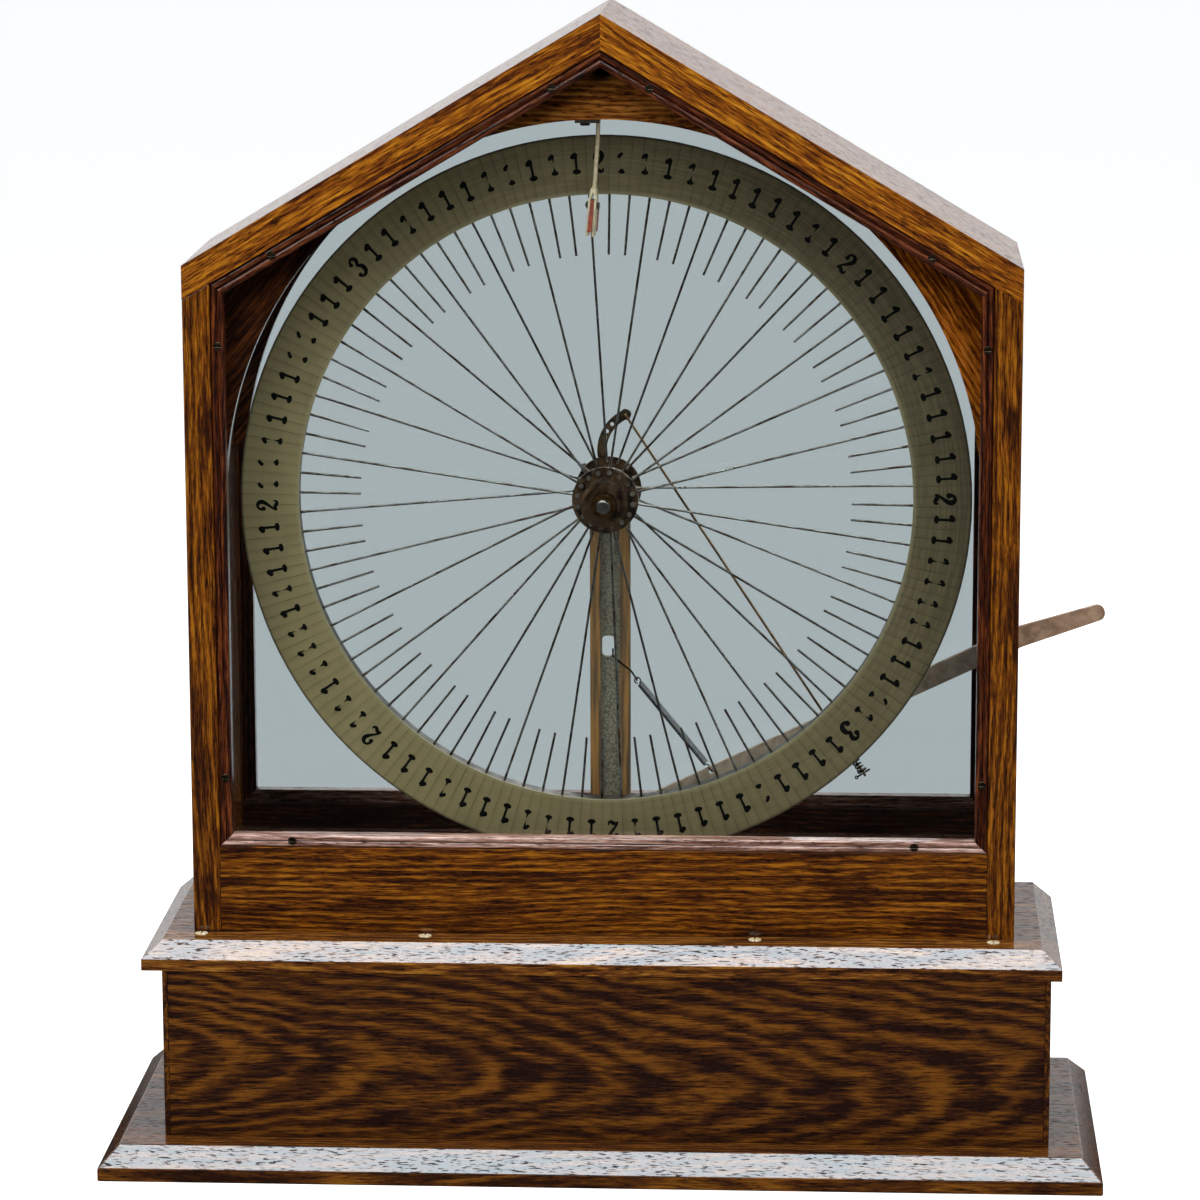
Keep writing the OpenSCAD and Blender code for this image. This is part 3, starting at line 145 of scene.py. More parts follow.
def set_studio():
    """Soft light from above and in front, white behind, and the panes' pale blue-grey behind the wheel."""
    scene = bpy.context.scene
    scene.view_settings.view_transform = "Standard"
    world = bpy.data.worlds.new("studio")
    scene.world = world
    world.use_nodes = True
    tree = world.node_tree
    tree.nodes.clear()
    way = add(tree, "TexCoord", out=0)
    behind = add(tree, "MapRange", {0: add(tree, "SeparateXYZ", {0: way}, 1), 1: -0.05, 2: 0.45})
    above = add(tree, "MapRange", {0: add(tree, "SeparateXYZ", {0: way}, 2), 1: 0.30, 2: 0.75})
    pale = add(tree, "Math", {0: behind, 1: above}, operation="MAXIMUM")
    gloss = add(tree, "Mix", {0: pale, 6: colour(DARK_ROOM), 7: colour(PALE_ROOM)}, 2, data_type="RGBA")
    camera_ray = add(tree, "LightPath", out="Is Camera Ray")
    glossy_ray = add(tree, "LightPath", out="Is Glossy Ray")
    passing_ray = add(tree, "LightPath", out="Is Transmission Ray")
    lit = add(tree, "Mix", {0: camera_ray, 6: colour("#94989d"), 7: (1, 1, 1, 1)}, 2, data_type="RGBA")
    lit = add(tree, "Mix", {0: glossy_ray, 6: lit, 7: gloss}, 2, data_type="RGBA")
    # Through the panes the haze shows, but metal and varnish inside the case still mirror
    # the dark room ahead
    straight = add(tree, "Math", {0: add(tree, "LightPath", out="Glossy Depth"), 1: 0.5},
                   operation="LESS_THAN")
    hazy = add(tree, "Math", {0: behind, 1: straight}, operation="MAXIMUM")
    passed = add(tree, "Mix", {0: hazy, 6: gloss, 7: colour(HAZE)}, 2, data_type="RGBA")
    lit = add(tree, "Mix", {0: passing_ray, 6: lit, 7: passed}, 2, data_type="RGBA")
    add(tree, "OutputWorld", {"Surface": add(tree, "Background", {"Color": lit, "Strength": 1.0})})

    lamp("overhead box", (-0.1, -0.62, 2.3), (-0.1, -0.25, 0.2), (1.9, 1.4), 50, (0.95, 0.98, 1.0))
    # A second box just above it only shines: it shows in varnish and metal and lights nothing
    shine = lamp("shine box", (-0.1, -0.64, 2.4), (-0.1, -0.25, 0.2), (2.0, 1.5), 74, (0.66, 0.87, 1.0))
    shine.visible_diffuse = False
    lamp("front left box", (-1.9, -2.2, 1.9), (0, 0, 0.35), (1.2, 1.2), 20)
    lamp("front right box", (2.1, -2.0, 1.5), (0, 0, 0.35), (1.0, 1.2), 11)
    back = lamp("back box", (0.4, 2.5, 1.5), (0, 0, 0.35), (1.2, 1.2), 14)
    back.visible_glossy = False

    bpy.ops.mesh.primitive_plane_add(size=16, location=(0, 2, 0))
    floor = bpy.context.object
    floor.name = "floor"
    bpy.ops.object.transform_apply(location=True, rotation=True, scale=True)
    # Pale paper. The camera sees it white except in the object's shadow
    sheet = bpy.data.materials.new("floor_paper")
    sheet.use_nodes = True
    tree = sheet.node_tree
    tree.nodes.clear()
    glow = add(tree, "Math", {0: add(tree, "LightPath", out="Is Camera Ray"), 1: 0.7},
               operation="MULTIPLY")
    paper = add(tree, "BsdfPrincipled", {"Base Color": colour("#e6e6e4"), "Roughness": 0.9,
                "Emission Color": (1, 1, 1, 1), "Emission Strength": glow})
    # In gloss the paper is as dark as the room ahead of the object and as pale as the backdrop behind it
    deep = add(tree, "SeparateXYZ", {0: add(tree, "TexCoord", out=3)}, 1)
    share = add(tree, "MapRange", {0: deep, 1: 0.05, 2: 0.9})
    gloss = add(tree, "Mix", {0: share, 6: colour(DARK_ROOM), 7: colour(PALE_ROOM)}, 2, data_type="RGBA")
    mirrored = add(tree, "Emission", {"Color": gloss, "Strength": 1.0})
    straight = add(tree, "Math", {0: add(tree, "LightPath", out="Glossy Depth"), 1: 0.5},
                   operation="LESS_THAN")
    hazy = add(tree, "Math", {0: share, 1: straight}, operation="MAXIMUM")
    haze = add(tree, "Mix", {0: hazy, 6: colour(DARK_ROOM), 7: colour(HAZE)}, 2, data_type="RGBA")
    passed = add(tree, "Emission", {"Color": haze, "Strength": 1.0})
    seen = add(tree, "MixShader", {0: add(tree, "LightPath", out="Is Glossy Ray"), 1: paper, 2: mirrored})
    seen = add(tree, "MixShader", {0: add(tree, "LightPath", out="Is Transmission Ray"), 1: seen,
                                   2: passed})
    add(tree, "OutputMaterial", {"Surface": seen})
    floor.data.materials.append(sheet)


# Finishes

def new_finish(name):
    """An empty material, its tree and its object coordinates."""
    material = bpy.data.materials.new(name)
    material.use_nodes = True
    material.node_tree.nodes.clear()
    tree = material.node_tree
    return material, tree, add(tree, "TexCoord", out=3)


def finish_off(tree, skin, height, depth):
    """The surface shader with its fixed sockets, its bump of a depth in millimetres, and its output."""
    normal = add(tree, "Bump", {"Height": height, "Distance": depth * MM, "Strength": 1.0})
    add(tree, "OutputMaterial", {"Surface": add(tree, "BsdfPrincipled", {**skin, "Normal": normal})})


def oak(name, turn, shades, at=(0, 0, 0), ring=4.0, rings=0.10, tilt=(0, 0, 2), wild=6.0, patch=0.10,
        gloss=0.07):
    """Plain-sawn oak under old hand-rubbed varnish. The eye gets short brown and near-black fibres that
    crowd along the rings, arches where the board is cut flat, patches of darker stain with ragged ends,
    and open pores that break the varnish's shine."""
    material, tree, place = new_finish(name)
    dark, middle, light = shades
    # Millimetres along, through and across the board
    board = add(tree, "Mapping", {0: place, "Location": [a * MM for a in at],
                "Rotation": [math.radians(t) for t in turn], "Scale": (MM, MM, MM)}, vector_type="TEXTURE")
    # The grain wanders a few millimetres to either side along a board
    drift = add(tree, "TexNoise", {"Vector": add(tree, "Mapping", {0: board, "Scale": (260, 90, 90)},
                vector_type="TEXTURE"), "Scale": 1.0, "Detail": 1.0}, 1)
    grain = add(tree, "VectorMath", {0: drift, 1: (0, 16, 16), 2: board}, operation="MULTIPLY_ADD")
    # The trunk's middle lies behind the board's face and leans away from it. Rings are drawn
    # three times longer along the board than across it
    wave = ring / WAVE_RING
    trunk = add(tree, "Mapping", {0: grain, "Location": (0, 45, 12),
                "Rotation": [math.radians(t) for t in tilt],
                "Scale": (3 * wave, wave, wave)}, vector_type="TEXTURE")
    growth = add(tree, "TexWave", {"Vector": trunk, "Scale": 1.0, "Distortion": wild, "Detail": 3.0,
                 "Detail Scale": 0.3, "Detail Roughness": 0.7}, 1, wave_type="RINGS", rings_direction="X")
    streaks = add(tree, "TexNoise", {"Vector": add(tree, "Mapping", {0: grain, "Scale": (42, 2.6, 2.6)},
                  vector_type="TEXTURE"), "Scale": 1.0, "Detail": 2.0, "Roughness": 0.6})
    # Real fibres and pores are 0.2 mm wide; these are four times as wide so that they show
    fibres = add(tree, "TexNoise", {"Vector": add(tree, "Mapping", {0: grain, "Scale": (13, 0.8, 0.8)},
                 vector_type="TEXTURE"), "Scale": 1.0, "Detail": 3.0, "Roughness": 0.6})
    pores = add(tree, "TexNoise", {"Vector": add(tree, "Mapping", {0: grain, "Scale": (5.5, 0.95, 0.95)},
                vector_type="TEXTURE"), "Scale": 1.0, "Detail": 1.0})
    stain = add(tree, "TexNoise", {"Vector": add(tree, "Mapping", {0: grain, "Scale": (75, 14, 11)},
                vector_type="TEXTURE"), "Scale": 1.0, "Detail": 3.0, "Roughness": 0.55})
    blot = add(tree, "MapRange", {0: stain, 1: 0.53, 2: 0.62, 3: 0.0, 4: -patch})
    fine = add(tree, "Math", {0: fibres, 1: 0.62, 2: add(tree, "Math", {0: streaks, 1: 0.38, 2: blot},
               operation="MULTIPLY_ADD")}, operation="MULTIPLY_ADD")
    tone = add(tree, "Math", {0: growth, 1: -rings, 2: fine}, operation="MULTIPLY_ADD")
    level = 0.5 - 0.5 * rings
    wood = add(tree, "Mix", {0: add(tree, "MapRange", {0: tone, 1: level - 0.12, 2: level + 0.01}),
               6: colour(dark), 7: colour(middle)}, 2, data_type="RGBA")
    wood = add(tree, "Mix", {0: add(tree, "MapRange", {0: tone, 1: level + 0.01, 2: level + 0.14}),
               6: wood, 7: colour(light)}, 2, data_type="RGBA")
    crowd = add(tree, "MapRange", {0: tone, 1: level + 0.08, 2: level - 0.06, 3: 0.35, 4: 1.0})
    pits = add(tree, "Math", {0: add(tree, "MapRange", {0: pores, 1: 0.57, 2: 0.64}), 1: crowd},
               operation="MULTIPLY")
    wood = add(tree, "Mix", {0: add(tree, "Math", {0: pits, 1: 0.75}, operation="MULTIPLY"), 6: wood,
               7: colour(PORE)}, 2, data_type="RGBA")
    # The varnish has sunk into the pores
    varnish = add(tree, "MapRange", {0: pits, 2: 0.8, 3: 1.0, 4: 0.05})
    relief = add(tree, "Math", {0: add(tree, "MapRange", {0: fibres, 1: 0.2, 2: 0.8, 4: 0.5}), 1: pits},
                 operation="SUBTRACT")
    finish_off(tree, {"Base Color": wood, "Roughness": 0.5, "Specular IOR Level": 0.05,
               "Coat Weight": varnish, "Coat Roughness": gloss}, relief, 0.03)
    return material


def worn_metal(name, shades, size, rough, level=(0.4, 0.62), metallic=1.0, depth=0.03):
    """Worn metal. The eye gets its own colour where hands and rags reach it, and tarnish, rust or old oil
    in soft spots of a given size in millimetres."""
    material, tree, place = new_finish(name)
    clean, stained = shades
    spots = add(tree, "TexNoise", {"Vector": add(tree, "Mapping", {0: place, "Scale": (size * MM,) * 3},
                vector_type="TEXTURE"), "Scale": 1.0, "Detail": 5.0, "Roughness": 0.62})
    pitting = add(tree, "TexNoise", {"Vector": add(tree, "Mapping", {0: place, "Scale": (0.8 * MM,) * 3},
                  vector_type="TEXTURE"), "Scale": 1.0, "Detail": 2.0})
    tone = add(tree, "Mix", {0: add(tree, "MapRange", {0: spots, 1: level[0], 2: level[1]}),
               6: colour(clean), 7: colour(stained)}, 2, data_type="RGBA")
    finish_off(tree, {"Base Color": tone, "Metallic": metallic,
               "Roughness": add(tree, "MapRange", {0: spots, 1: 0.3, 2: 0.7, 3: rough[0], 4: rough[1]})},
               pitting, depth)
    return material


def drawn_glass():
    """Drawn sheet glass, clear with a trace of green. Lamps pass it, so the wheel behind it is lit, and
    slow waves from the drawing bend what shows in it."""
    material, tree, place = new_finish("drawn_sheet_glass")
    waves = add(tree, "TexNoise", {"Vector": add(tree, "Mapping", {0: place, "Scale": (0.05, 0.2, 0.12)},
                vector_type="TEXTURE"), "Scale": 1.0, "Detail": 1.0})
    normal = add(tree, "Bump", {"Height": waves, "Distance": 0.03 * MM, "Strength": 0.4})
    sheet = add(tree, "BsdfPrincipled", {"Base Color": colour("#fafcfc"), "Roughness": 0.0, "IOR": 1.5,
                "Transmission Weight": 1.0, "Normal": normal})
    clear = add(tree, "BsdfTransparent", {"Color": colour("#fafcfc")})
    either = add(tree, "MixShader", {0: add(tree, "LightPath", out="Is Shadow Ray"), 1: sheet, 2: clear})
    add(tree, "OutputMaterial", {"Surface": either})
    return material


def lacquered_brass():
    """Rolled sheet brass gone olive under old lacquer. The eye gets thin scribed lines between the figures,
    cloudy tarnish, painted shade along the outer edge, a painted highlight along the inner one, and painted
    shade that darkens the plate toward the upper right and leaves it lighter at the lower left."""
    material, tree, place = new_finish("lacquered_sheet_brass")
    x = add(tree, "SeparateXYZ", {0: place}, 0)
    z = add(tree, "SeparateXYZ", {0: place}, 2)
    up = add(tree, "Math", {0: z, 1: AXLE_Z * MM}, operation="SUBTRACT")
    angle = add(tree, "Math", {0: x, 1: up}, operation="ARCTAN2")
    radius = add(tree, "VectorMath", {0: add(tree, "CombineXYZ", {0: x, 1: up})}, 1, operation="LENGTH")
    # Angle in figures' widths; the lines lie half way between figures
    turn = add(tree, "Math", {0: angle, 1: 180 / math.pi / PIN_STEP, 2: 0.5 - FIRST_FIGURE / PIN_STEP},
               operation="MULTIPLY_ADD")
    # How far a point is from the nearest line, as a share of the way to the next figure
    part = add(tree, "Math", {0: add(tree, "Math", {0: turn, 1: 1.0}, operation="WRAP"), 1: 0.5},
               operation="PINGPONG")
    line = add(tree, "MapRange", {0: part, 1: 0.012, 2: 0.035, 3: 1.0, 4: 0.0})
    shade = add(tree, "MapRange", {0: part, 1: 0.0, 2: 0.22, 3: 1.0, 4: 0.0})
    # Some lines are scribed deep and others have worn away
    patches = add(tree, "TexNoise", {"Vector": add(tree, "Mapping", {0: place, "Scale": (0.022,) * 3},
                  vector_type="TEXTURE"), "Scale": 1.0, "Detail": 1.0})
    deep = add(tree, "MapRange", {0: patches, 1: 0.4, 2: 0.65, 3: 0.12, 4: 0.75})
    clouds = add(tree, "TexNoise", {"Vector": add(tree, "Mapping", {0: place, "Scale": (0.046,) * 3},
                 vector_type="TEXTURE"), "Scale": 1.0, "Detail": 5.0, "Roughness": 0.6})
    # Rolling and rubbing marks follow the plate round, 26 mm long and 1.5 mm apart
    round_it = add(tree, "VectorMath", {0: add(tree, "CombineXYZ", {0: x, 1: up})}, operation="NORMALIZE")
    depth = add(tree, "Math", {0: radius, 1: 0.0015}, operation="DIVIDE")
    rubbed = add(tree, "TexNoise", {"Vector": add(tree, "VectorMath", {0: round_it, 1: (8, 8, 0),
                 2: add(tree, "CombineXYZ", {2: depth})}, operation="MULTIPLY_ADD"),
                 "Scale": 1.0, "Detail": 3.0})
    # Painted shade: the plate is drawn darker toward the upper right and lighter toward the lower left
    lean = add(tree, "Math", {0: up, 1: 0.6, 2: x}, operation="MULTIPLY_ADD")
    tone = add(tree, "Mix", {0: add(tree, "MapRange", {0: lean, 1: -0.24, 2: 0.24}), 6: colour("#94845b"),
               7: colour("#5d5139")}, 2, data_type="RGBA")
    tone = add(tree, "Mix", {0: add(tree, "MapRange", {0: rubbed, 1: 0.42, 2: 0.62, 4: 0.18}), 6: tone,
               7: colour("#a2946a")}, 2, data_type="RGBA")
    tone = add(tree, "Mix", {0: add(tree, "MapRange", {0: clouds, 1: 0.5, 2: 0.75, 4: 0.3}), 6: tone,
               7: colour("#54482c")}, 2, data_type="RGBA")
    tone = add(tree, "Mix", {0: add(tree, "Math", {0: shade, 1: 0.16}, operation="MULTIPLY"), 6: tone,
               7: colour("#2b2718")}, 2, data_type="RGBA")
    tone = add(tree, "Mix", {0: add(tree, "Math", {0: line, 1: deep}, operation="MULTIPLY"), 6: tone,
               7: colour("#1f1b10")}, 2, data_type="RGBA")
    # Painted shade: a dark band along the plate's outer edge
    tone = add(tree, "Mix", {0: add(tree, "MapRange", {0: radius, 1: (DIAL_EDGE - 1.8) * MM,
               2: (DIAL_EDGE - 0.3) * MM, 4: 0.85}), 6: tone, 7: colour("#1c1a14")}, 2, data_type="RGBA")
    # Painted highlight: a pale band along the plate's inner edge
    tone = add(tree, "Mix", {0: add(tree, "MapRange", {0: radius, 1: (DIAL_HOLE + 2.7) * MM,
               2: (DIAL_HOLE + 0.4) * MM, 4: 0.5}), 6: tone, 7: colour("#a39a76")}, 2, data_type="RGBA")
    finish_off(tree, {"Base Color": tone, "Metallic": 0.6,
               "Roughness": add(tree, "MapRange", {0: clouds, 1: 0.3, 2: 0.7, 3: 0.44, 4: 0.58})},
               rubbed, 0.02)
    return material


def drawn_wire():
    """Drawn steel wire, grey and shiny on its upper side, with brown rust in runs, and polished at
    the heads on the hub."""
    material, tree, place = new_finish("drawn_steel_wire")
    x = add(tree, "SeparateXYZ", {0: place}, 0)
    up = add(tree, "Math", {0: add(tree, "SeparateXYZ", {0: place}, 2), 1: AXLE_Z * MM},
             operation="SUBTRACT")
    radius = add(tree, "VectorMath", {0: add(tree, "CombineXYZ", {0: x, 1: up})}, 1, operation="LENGTH")
    rust = add(tree, "TexNoise", {"Vector": add(tree, "Mapping", {0: place, "Scale": (0.012,) * 3},
               vector_type="TEXTURE"), "Scale": 1.0, "Detail": 4.0, "Roughness": 0.7})
    tone = add(tree, "Mix", {0: add(tree, "MapRange", {0: rust, 1: 0.45, 2: 0.62}), 6: colour("#84837c"),
               7: colour("#4b3a2b")}, 2, data_type="RGBA")
    tone = add(tree, "Mix", {0: add(tree, "MapRange", {0: radius, 1: 0.0205, 2: 0.0190}), 6: tone,
               7: colour("#a39a8c")}, 2, data_type="RGBA")
    finish_off(tree, {"Base Color": tone, "Metallic": 1.0,
               "Roughness": add(tree, "MapRange", {0: rust, 1: 0.3, 2: 0.7, 3: 0.24, 4: 0.42})}, rust, 0.02)
    return material


def forged_bar():
    """Forged steel bar. It is grey with a thin bloom of rust inside the case, and outside it is browned and
    mottled by hands."""
    material, tree, place = new_finish("forged_steel_bar")
    x = add(tree, "SeparateXYZ", {0: place}, 0)
    spots = add(tree, "TexNoise", {"Vector": add(tree, "Mapping", {0: place, "Scale": (0.007,) * 3},
                vector_type="TEXTURE"), "Scale": 1.0, "Detail": 5.0, "Roughness": 0.65})
    inside = add(tree, "Mix", {0: add(tree, "MapRange", {0: spots, 1: 0.4, 2: 0.65}), 6: colour("#aa9883"),
                 7: colour("#85745f")}, 2, data_type="RGBA")
    grip = add(tree, "Mix", {0: add(tree, "MapRange", {0: spots, 1: 0.38, 2: 0.62}), 6: colour("#c5a184"),
               7: colour("#94755a")}, 2, data_type="RGBA")
    tone = add(tree, "Mix", {0: add(tree, "MapRange", {0: x, 1: 0.236, 2: 0.252}), 6: inside, 7: grip},
               2, data_type="RGBA")
    finish_off(tree, {"Base Color": tone, "Metallic": 0.2,
               "Roughness": add(tree, "MapRange", {0: spots, 1: 0.3, 2: 0.7, 3: 0.42, 4: 0.6})},
               spots, 0.08)
    return material


def cast_iron():
    """Grey cast iron. Golden-brown paint has worn thin in runs down the flanges, and the channel keeps the
    pebbled skin of its sand mould."""
    material, tree, place = new_finish("painted_cast_iron")
    y = add(tree, "SeparateXYZ", {0: place}, 1)
    pebbles = add(tree, "TexVoronoi", {"Vector": add(tree, "Mapping", {0: place, "Scale": (0.0017,) * 3},
                  vector_type="TEXTURE"), "Scale": 1.0})
    runs = add(tree, "TexNoise", {"Vector": add(tree, "Mapping", {0: place,
               "Scale": (0.0022, 0.0022, 0.05)},
               vector_type="TEXTURE"), "Scale": 1.0, "Detail": 4.0})
    flange = add(tree, "Mix", {0: add(tree, "MapRange", {0: runs, 1: 0.38, 2: 0.62}), 6: colour("#9a6e35"),
                 7: colour("#54402a")}, 2, data_type="RGBA")
    web = add(tree, "Mix", {0: add(tree, "MapRange", {0: pebbles, 1: 0.15, 2: 0.8}), 6: colour("#918b74"),
              7: colour("#5a5444")}, 2, data_type="RGBA")
    tone = add(tree, "Mix", {0: add(tree, "MapRange", {0: y, 1: 0.0510, 2: 0.0535}), 6: flange, 7: web},
               2, data_type="RGBA")
    finish_off(tree, {"Base Color": tone, "Metallic": 0.1,
               "Roughness": add(tree, "MapRange", {0: runs, 1: 0.3, 2: 0.7, 3: 0.38, 4: 0.6})},
               pebbles, 0.12)
    return material


def tanned_leather():
    """Vegetable-tanned leather cut from a strap: orange-red, close-grained, and dark where it is oiled."""
    material, tree, place = new_finish("tanned_leather")
    cells = add(tree, "TexVoronoi", {"Vector": add(tree, "Mapping", {0: place, "Scale": (0.0009,) * 3},
                vector_type="TEXTURE"), "Scale": 1.0})
    oiled = add(tree, "TexNoise", {"Vector": add(tree, "Mapping", {0: place, "Scale": (0.005,) * 3},
                vector_type="TEXTURE"), "Scale": 1.0, "Detail": 4.0})
    tone = add(tree, "Mix", {0: add(tree, "MapRange", {0: oiled, 1: 0.35, 2: 0.65}), 6: colour("#a83e15"),
               7: colour("#74250f")}, 2, data_type="RGBA")
    tone = add(tree, "Mix", {0: add(tree, "MapRange", {0: cells, 1: 0.5, 2: 0.9, 4: 0.4}), 6: tone,
               7: colour("#43150c")}, 2, data_type="RGBA")
    finish_off(tree, {"Base Color": tone,
               "Roughness": add(tree, "MapRange", {0: oiled, 1: 0.3, 2: 0.7, 3: 0.5, 4: 0.7})}, cells, 0.12)
    return material


def yellowed_nickel(foot_z):
    """Nickel plate gone cream with age on the pointer's stem and fork, and dark with grime on its foot."""
    material, tree, place = new_finish("yellowed_nickel_plate")
    z = add(tree, "SeparateXYZ", {0: place}, 2)
    age = add(tree, "TexNoise", {"Vector": add(tree, "Mapping", {0: place, "Scale": (0.006,) * 3},
              vector_type="TEXTURE"), "Scale": 1.0, "Detail": 5.0, "Roughness": 0.62})
    tone = add(tree, "Mix", {0: add(tree, "MapRange", {0: age, 1: 0.5, 2: 0.75}), 6: colour("#dac8a2"),
               7: colour("#9c8a6a")}, 2, data_type="RGBA")
    grime = add(tree, "MapRange", {0: z, 1: (foot_z - 1.2) * MM, 2: (foot_z - 0.2) * MM, 4: 0.9})
    tone = add(tree, "Mix", {0: grime, 6: tone, 7: colour("#2e2620")}, 2, data_type="RGBA")
    finish_off(tree, {"Base Color": tone, "Metallic": 0.35,
               "Roughness": add(tree, "MapRange", {0: age, 1: 0.3, 2: 0.7, 3: 0.35, 4: 0.5})}, age, 0.02)
    return material


def stamped_enamel():
    """Black enamel rubbed into stamped figures, thin and brown where the brass shows through."""
    material, tree, place = new_finish("black_enamel")
    wear = add(tree, "TexNoise", {"Vector": add(tree, "Mapping", {0: place, "Scale": (0.0018,) * 3},
               vector_type="TEXTURE"), "Scale": 1.0, "Detail": 3.0})
    tone = add(tree, "Mix", {0: add(tree, "MapRange", {0: wear, 1: 0.62, 2: 0.8}), 6: colour("#040403"),
               7: colour("#2a2519")}, 2, data_type="RGBA")
    finish_off(tree, {"Base Color": tone, "Specular IOR Level": 0.08,
               "Roughness": add(tree, "MapRange", {0: wear, 1: 0.3, 2: 0.7, 3: 0.45, 4: 0.7})}, wear, 0.02)
    return material


# Shapes

def take(piece):
    """Only this piece selected and active."""
    bpy.ops.object.select_all(action="DESELECT")
    piece.select_set(True)
    bpy.context.view_layer.objects.active = piece


def join(pieces, name):
    """Several pieces made one."""
    bpy.ops.object.select_all(action="DESELECT")
    for piece in pieces:
        piece.select_set(True)
    bpy.context.view_layer.objects.active = pieces[0]
    bpy.ops.object.join()
    pieces[0].name = name
    pieces[0].data.name = name
    return pieces[0]


def clean_copy(node):
    """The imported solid's own shape as one merged mesh with whole flat faces."""
    piece = bpy.data.objects.new(node + "_dressed", frame["nodes"][node].data.copy())
    bpy.context.scene.collection.objects.link(piece)
    piece.data.materials.clear()
    take(piece)
    bpy.ops.mesh.customdata_custom_splitnormals_clear()
    bpy.ops.object.mode_set(mode="EDIT")
    bpy.ops.mesh.select_all(action="SELECT")
    bpy.ops.mesh.remove_doubles(threshold=0.000002)
    bpy.ops.mesh.dissolve_limited(angle_limit=math.radians(0.4))
    bpy.ops.object.mode_set(mode="OBJECT")
    return piece


def ease(piece, width, steps=2, sharp=38):
    """Sharp edges given a small round that catches the light."""
    take(piece)
    if width:
        bevel = piece.modifiers.new("eased", "BEVEL")
        bevel.width = width * MM
        bevel.segments = steps
        bevel.limit_method = "ANGLE"
        bevel.angle_limit = math.radians(sharp)
        bpy.ops.object.modifier_apply(modifier=bevel.name)
    bpy.ops.object.shade_smooth_by_angle(angle=math.radians(sharp))
    if width:
        # The large faces stay flat up to their rounds
        flats = piece.modifiers.new("flat faces", "WEIGHTED_NORMAL")
        flats.keep_sharp = True
        bpy.ops.object.modifier_apply(modifier=flats.name)


def belongs(piece, node, material):
    """The piece stands for the node, rides where it does and takes its finish."""
    piece.data.materials.clear()
    piece.data.materials.append(material)
    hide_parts(node)
    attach(piece, body_of_node[node])


def dress(node, material, width, steps=2, sharp=38):
    """A node's shape with eased edges and its finish."""
    piece = clean_copy(node)
    ease(piece, width, steps, sharp)
    belongs(piece, node, material)
    return piece


def paint(node, material):
    """A node whose shape is right keeps it and gets its finish."""
    mesh = frame["nodes"][node].data
    for i in range(len(mesh.materials)):
        mesh.materials[i] = material


def wire(name, points, radii, kind="POLY", sides=8):
    """A round wire along points in millimetres, with one radius or one for each point, as a mesh."""
    shape = bpy.data.curves.new(name, "CURVE")
    shape.dimensions = "3D"
    shape.bevel_depth = MM
    shape.bevel_resolution = sides // 4 - 1
    shape.resolution_u = 5
    shape.use_fill_caps = True
    line = shape.splines.new(kind)
    knots = line.bezier_points if kind == "BEZIER" else line.points
    knots.add(len(points) - 1)
    for i, (knot, point) in enumerate(zip(knots, points)):
        place = tuple(p * MM for p in point)
        knot.radius = radii[i] if isinstance(radii, list) else radii
        if kind == "BEZIER":
            knot.co = place
            knot.handle_left_type = "AUTO"
            knot.handle_right_type = "AUTO"
        else:
            knot.co = place + (1,)
    piece = bpy.data.objects.new(name, shape)
    bpy.context.scene.collection.objects.link(piece)
    take(piece)
    bpy.ops.object.convert(target="MESH")
    piece = bpy.context.object
    bpy.ops.object.shade_smooth_by_angle(angle=math.radians(50))
    return piece


place_camera()
set_studio()

# Each stain's dark, middle and light wood. The bottom bead's pale palette is a painted highlight
GOLD = ("#2f1304", "#633205", "#9c5f10")
BROWN = ("#2a1306", "#542c09", "#835012")
DEEP = ("#26110a", "#492609", "#774611")
RED = ("#1e0a06", "#4a1f0b", "#7b3d17")
BRIGHT = ("#421b06", "#86480b", "#c07f1c")
SHADED = ("#6b2f0a", "#c56c13", "#ee9c38")
RUSSET = ("#773c1b", "#c97a2f", "#eead4e")
HONEY = ("#33190a", "#6a3a10", "#9f6a22")
UMBER = ("#2b130a", "#4f2812", "#7c421c")
# Pale pinkish oak for the bottom bead: painted highlight for the shine on its ridges
BEAD_SHEEN = ("#5c392b", "#9c7261", "#d6b4a6")
NIGHT = ("#0e0806", "#22120a", "#3c2010")
# Grain lies along X unless turned, and the roof boards' follows their slope
rail_oak = oak("rail_oak", (0, 0, 0), GOLD, at=(31, -20, 240), ring=3.0, rings=0.12, tilt=(0, 0, 1))
back_rail_oak = oak("back_rail_oak", (0, 0, 0), NIGHT, at=(11, 20, 214), ring=3.0, tilt=(0, 0, 1))
plinth_oak = oak("plinth_oak", (0, 0, 0), BROWN, at=(30, 11, 5))
upper_oak = oak("upper_plinth_oak", (0, 0, 0), HONEY, at=(-47, 23, 8))
box_oak = oak("box_oak", (0, 0, 0), DEEP, at=(-60, -60, 62), ring=5.0, rings=0.16, tilt=(0, 1, 6),
              wild=12.0)
box_end_oak = oak("box_end_oak", (0, 0, 90), DEEP, at=(270, 9, 60), ring=6.0, rings=0.14, tilt=(0, 1, 8),
                  wild=14.0)
side_oak = oak("side_oak", (0, 90, 0), GOLD, at=(3, 17, 31), tilt=(0, 0, 3))
roof_left_oak = oak("roof_left_oak", (0, -ROOF_PITCH, 0), BRIGHT, at=(8, 3, 44), rings=0.06, patch=0.05)
roof_right_oak = oak("roof_right_oak", (0, ROOF_PITCH, 0), BRIGHT, at=(-18, 13, 14), rings=0.06, patch=0.05)
gable_oak = oak("gable_oak", (0, 0, 0), RUSSET, at=(40, 7, 19), ring=3.5, rings=0.14, wild=10.0)
bracket_left_oak = oak("bracket_left_oak", (0, -52, 0), UMBER, at=(4, 5, 6), rings=0.05, wild=12.0)
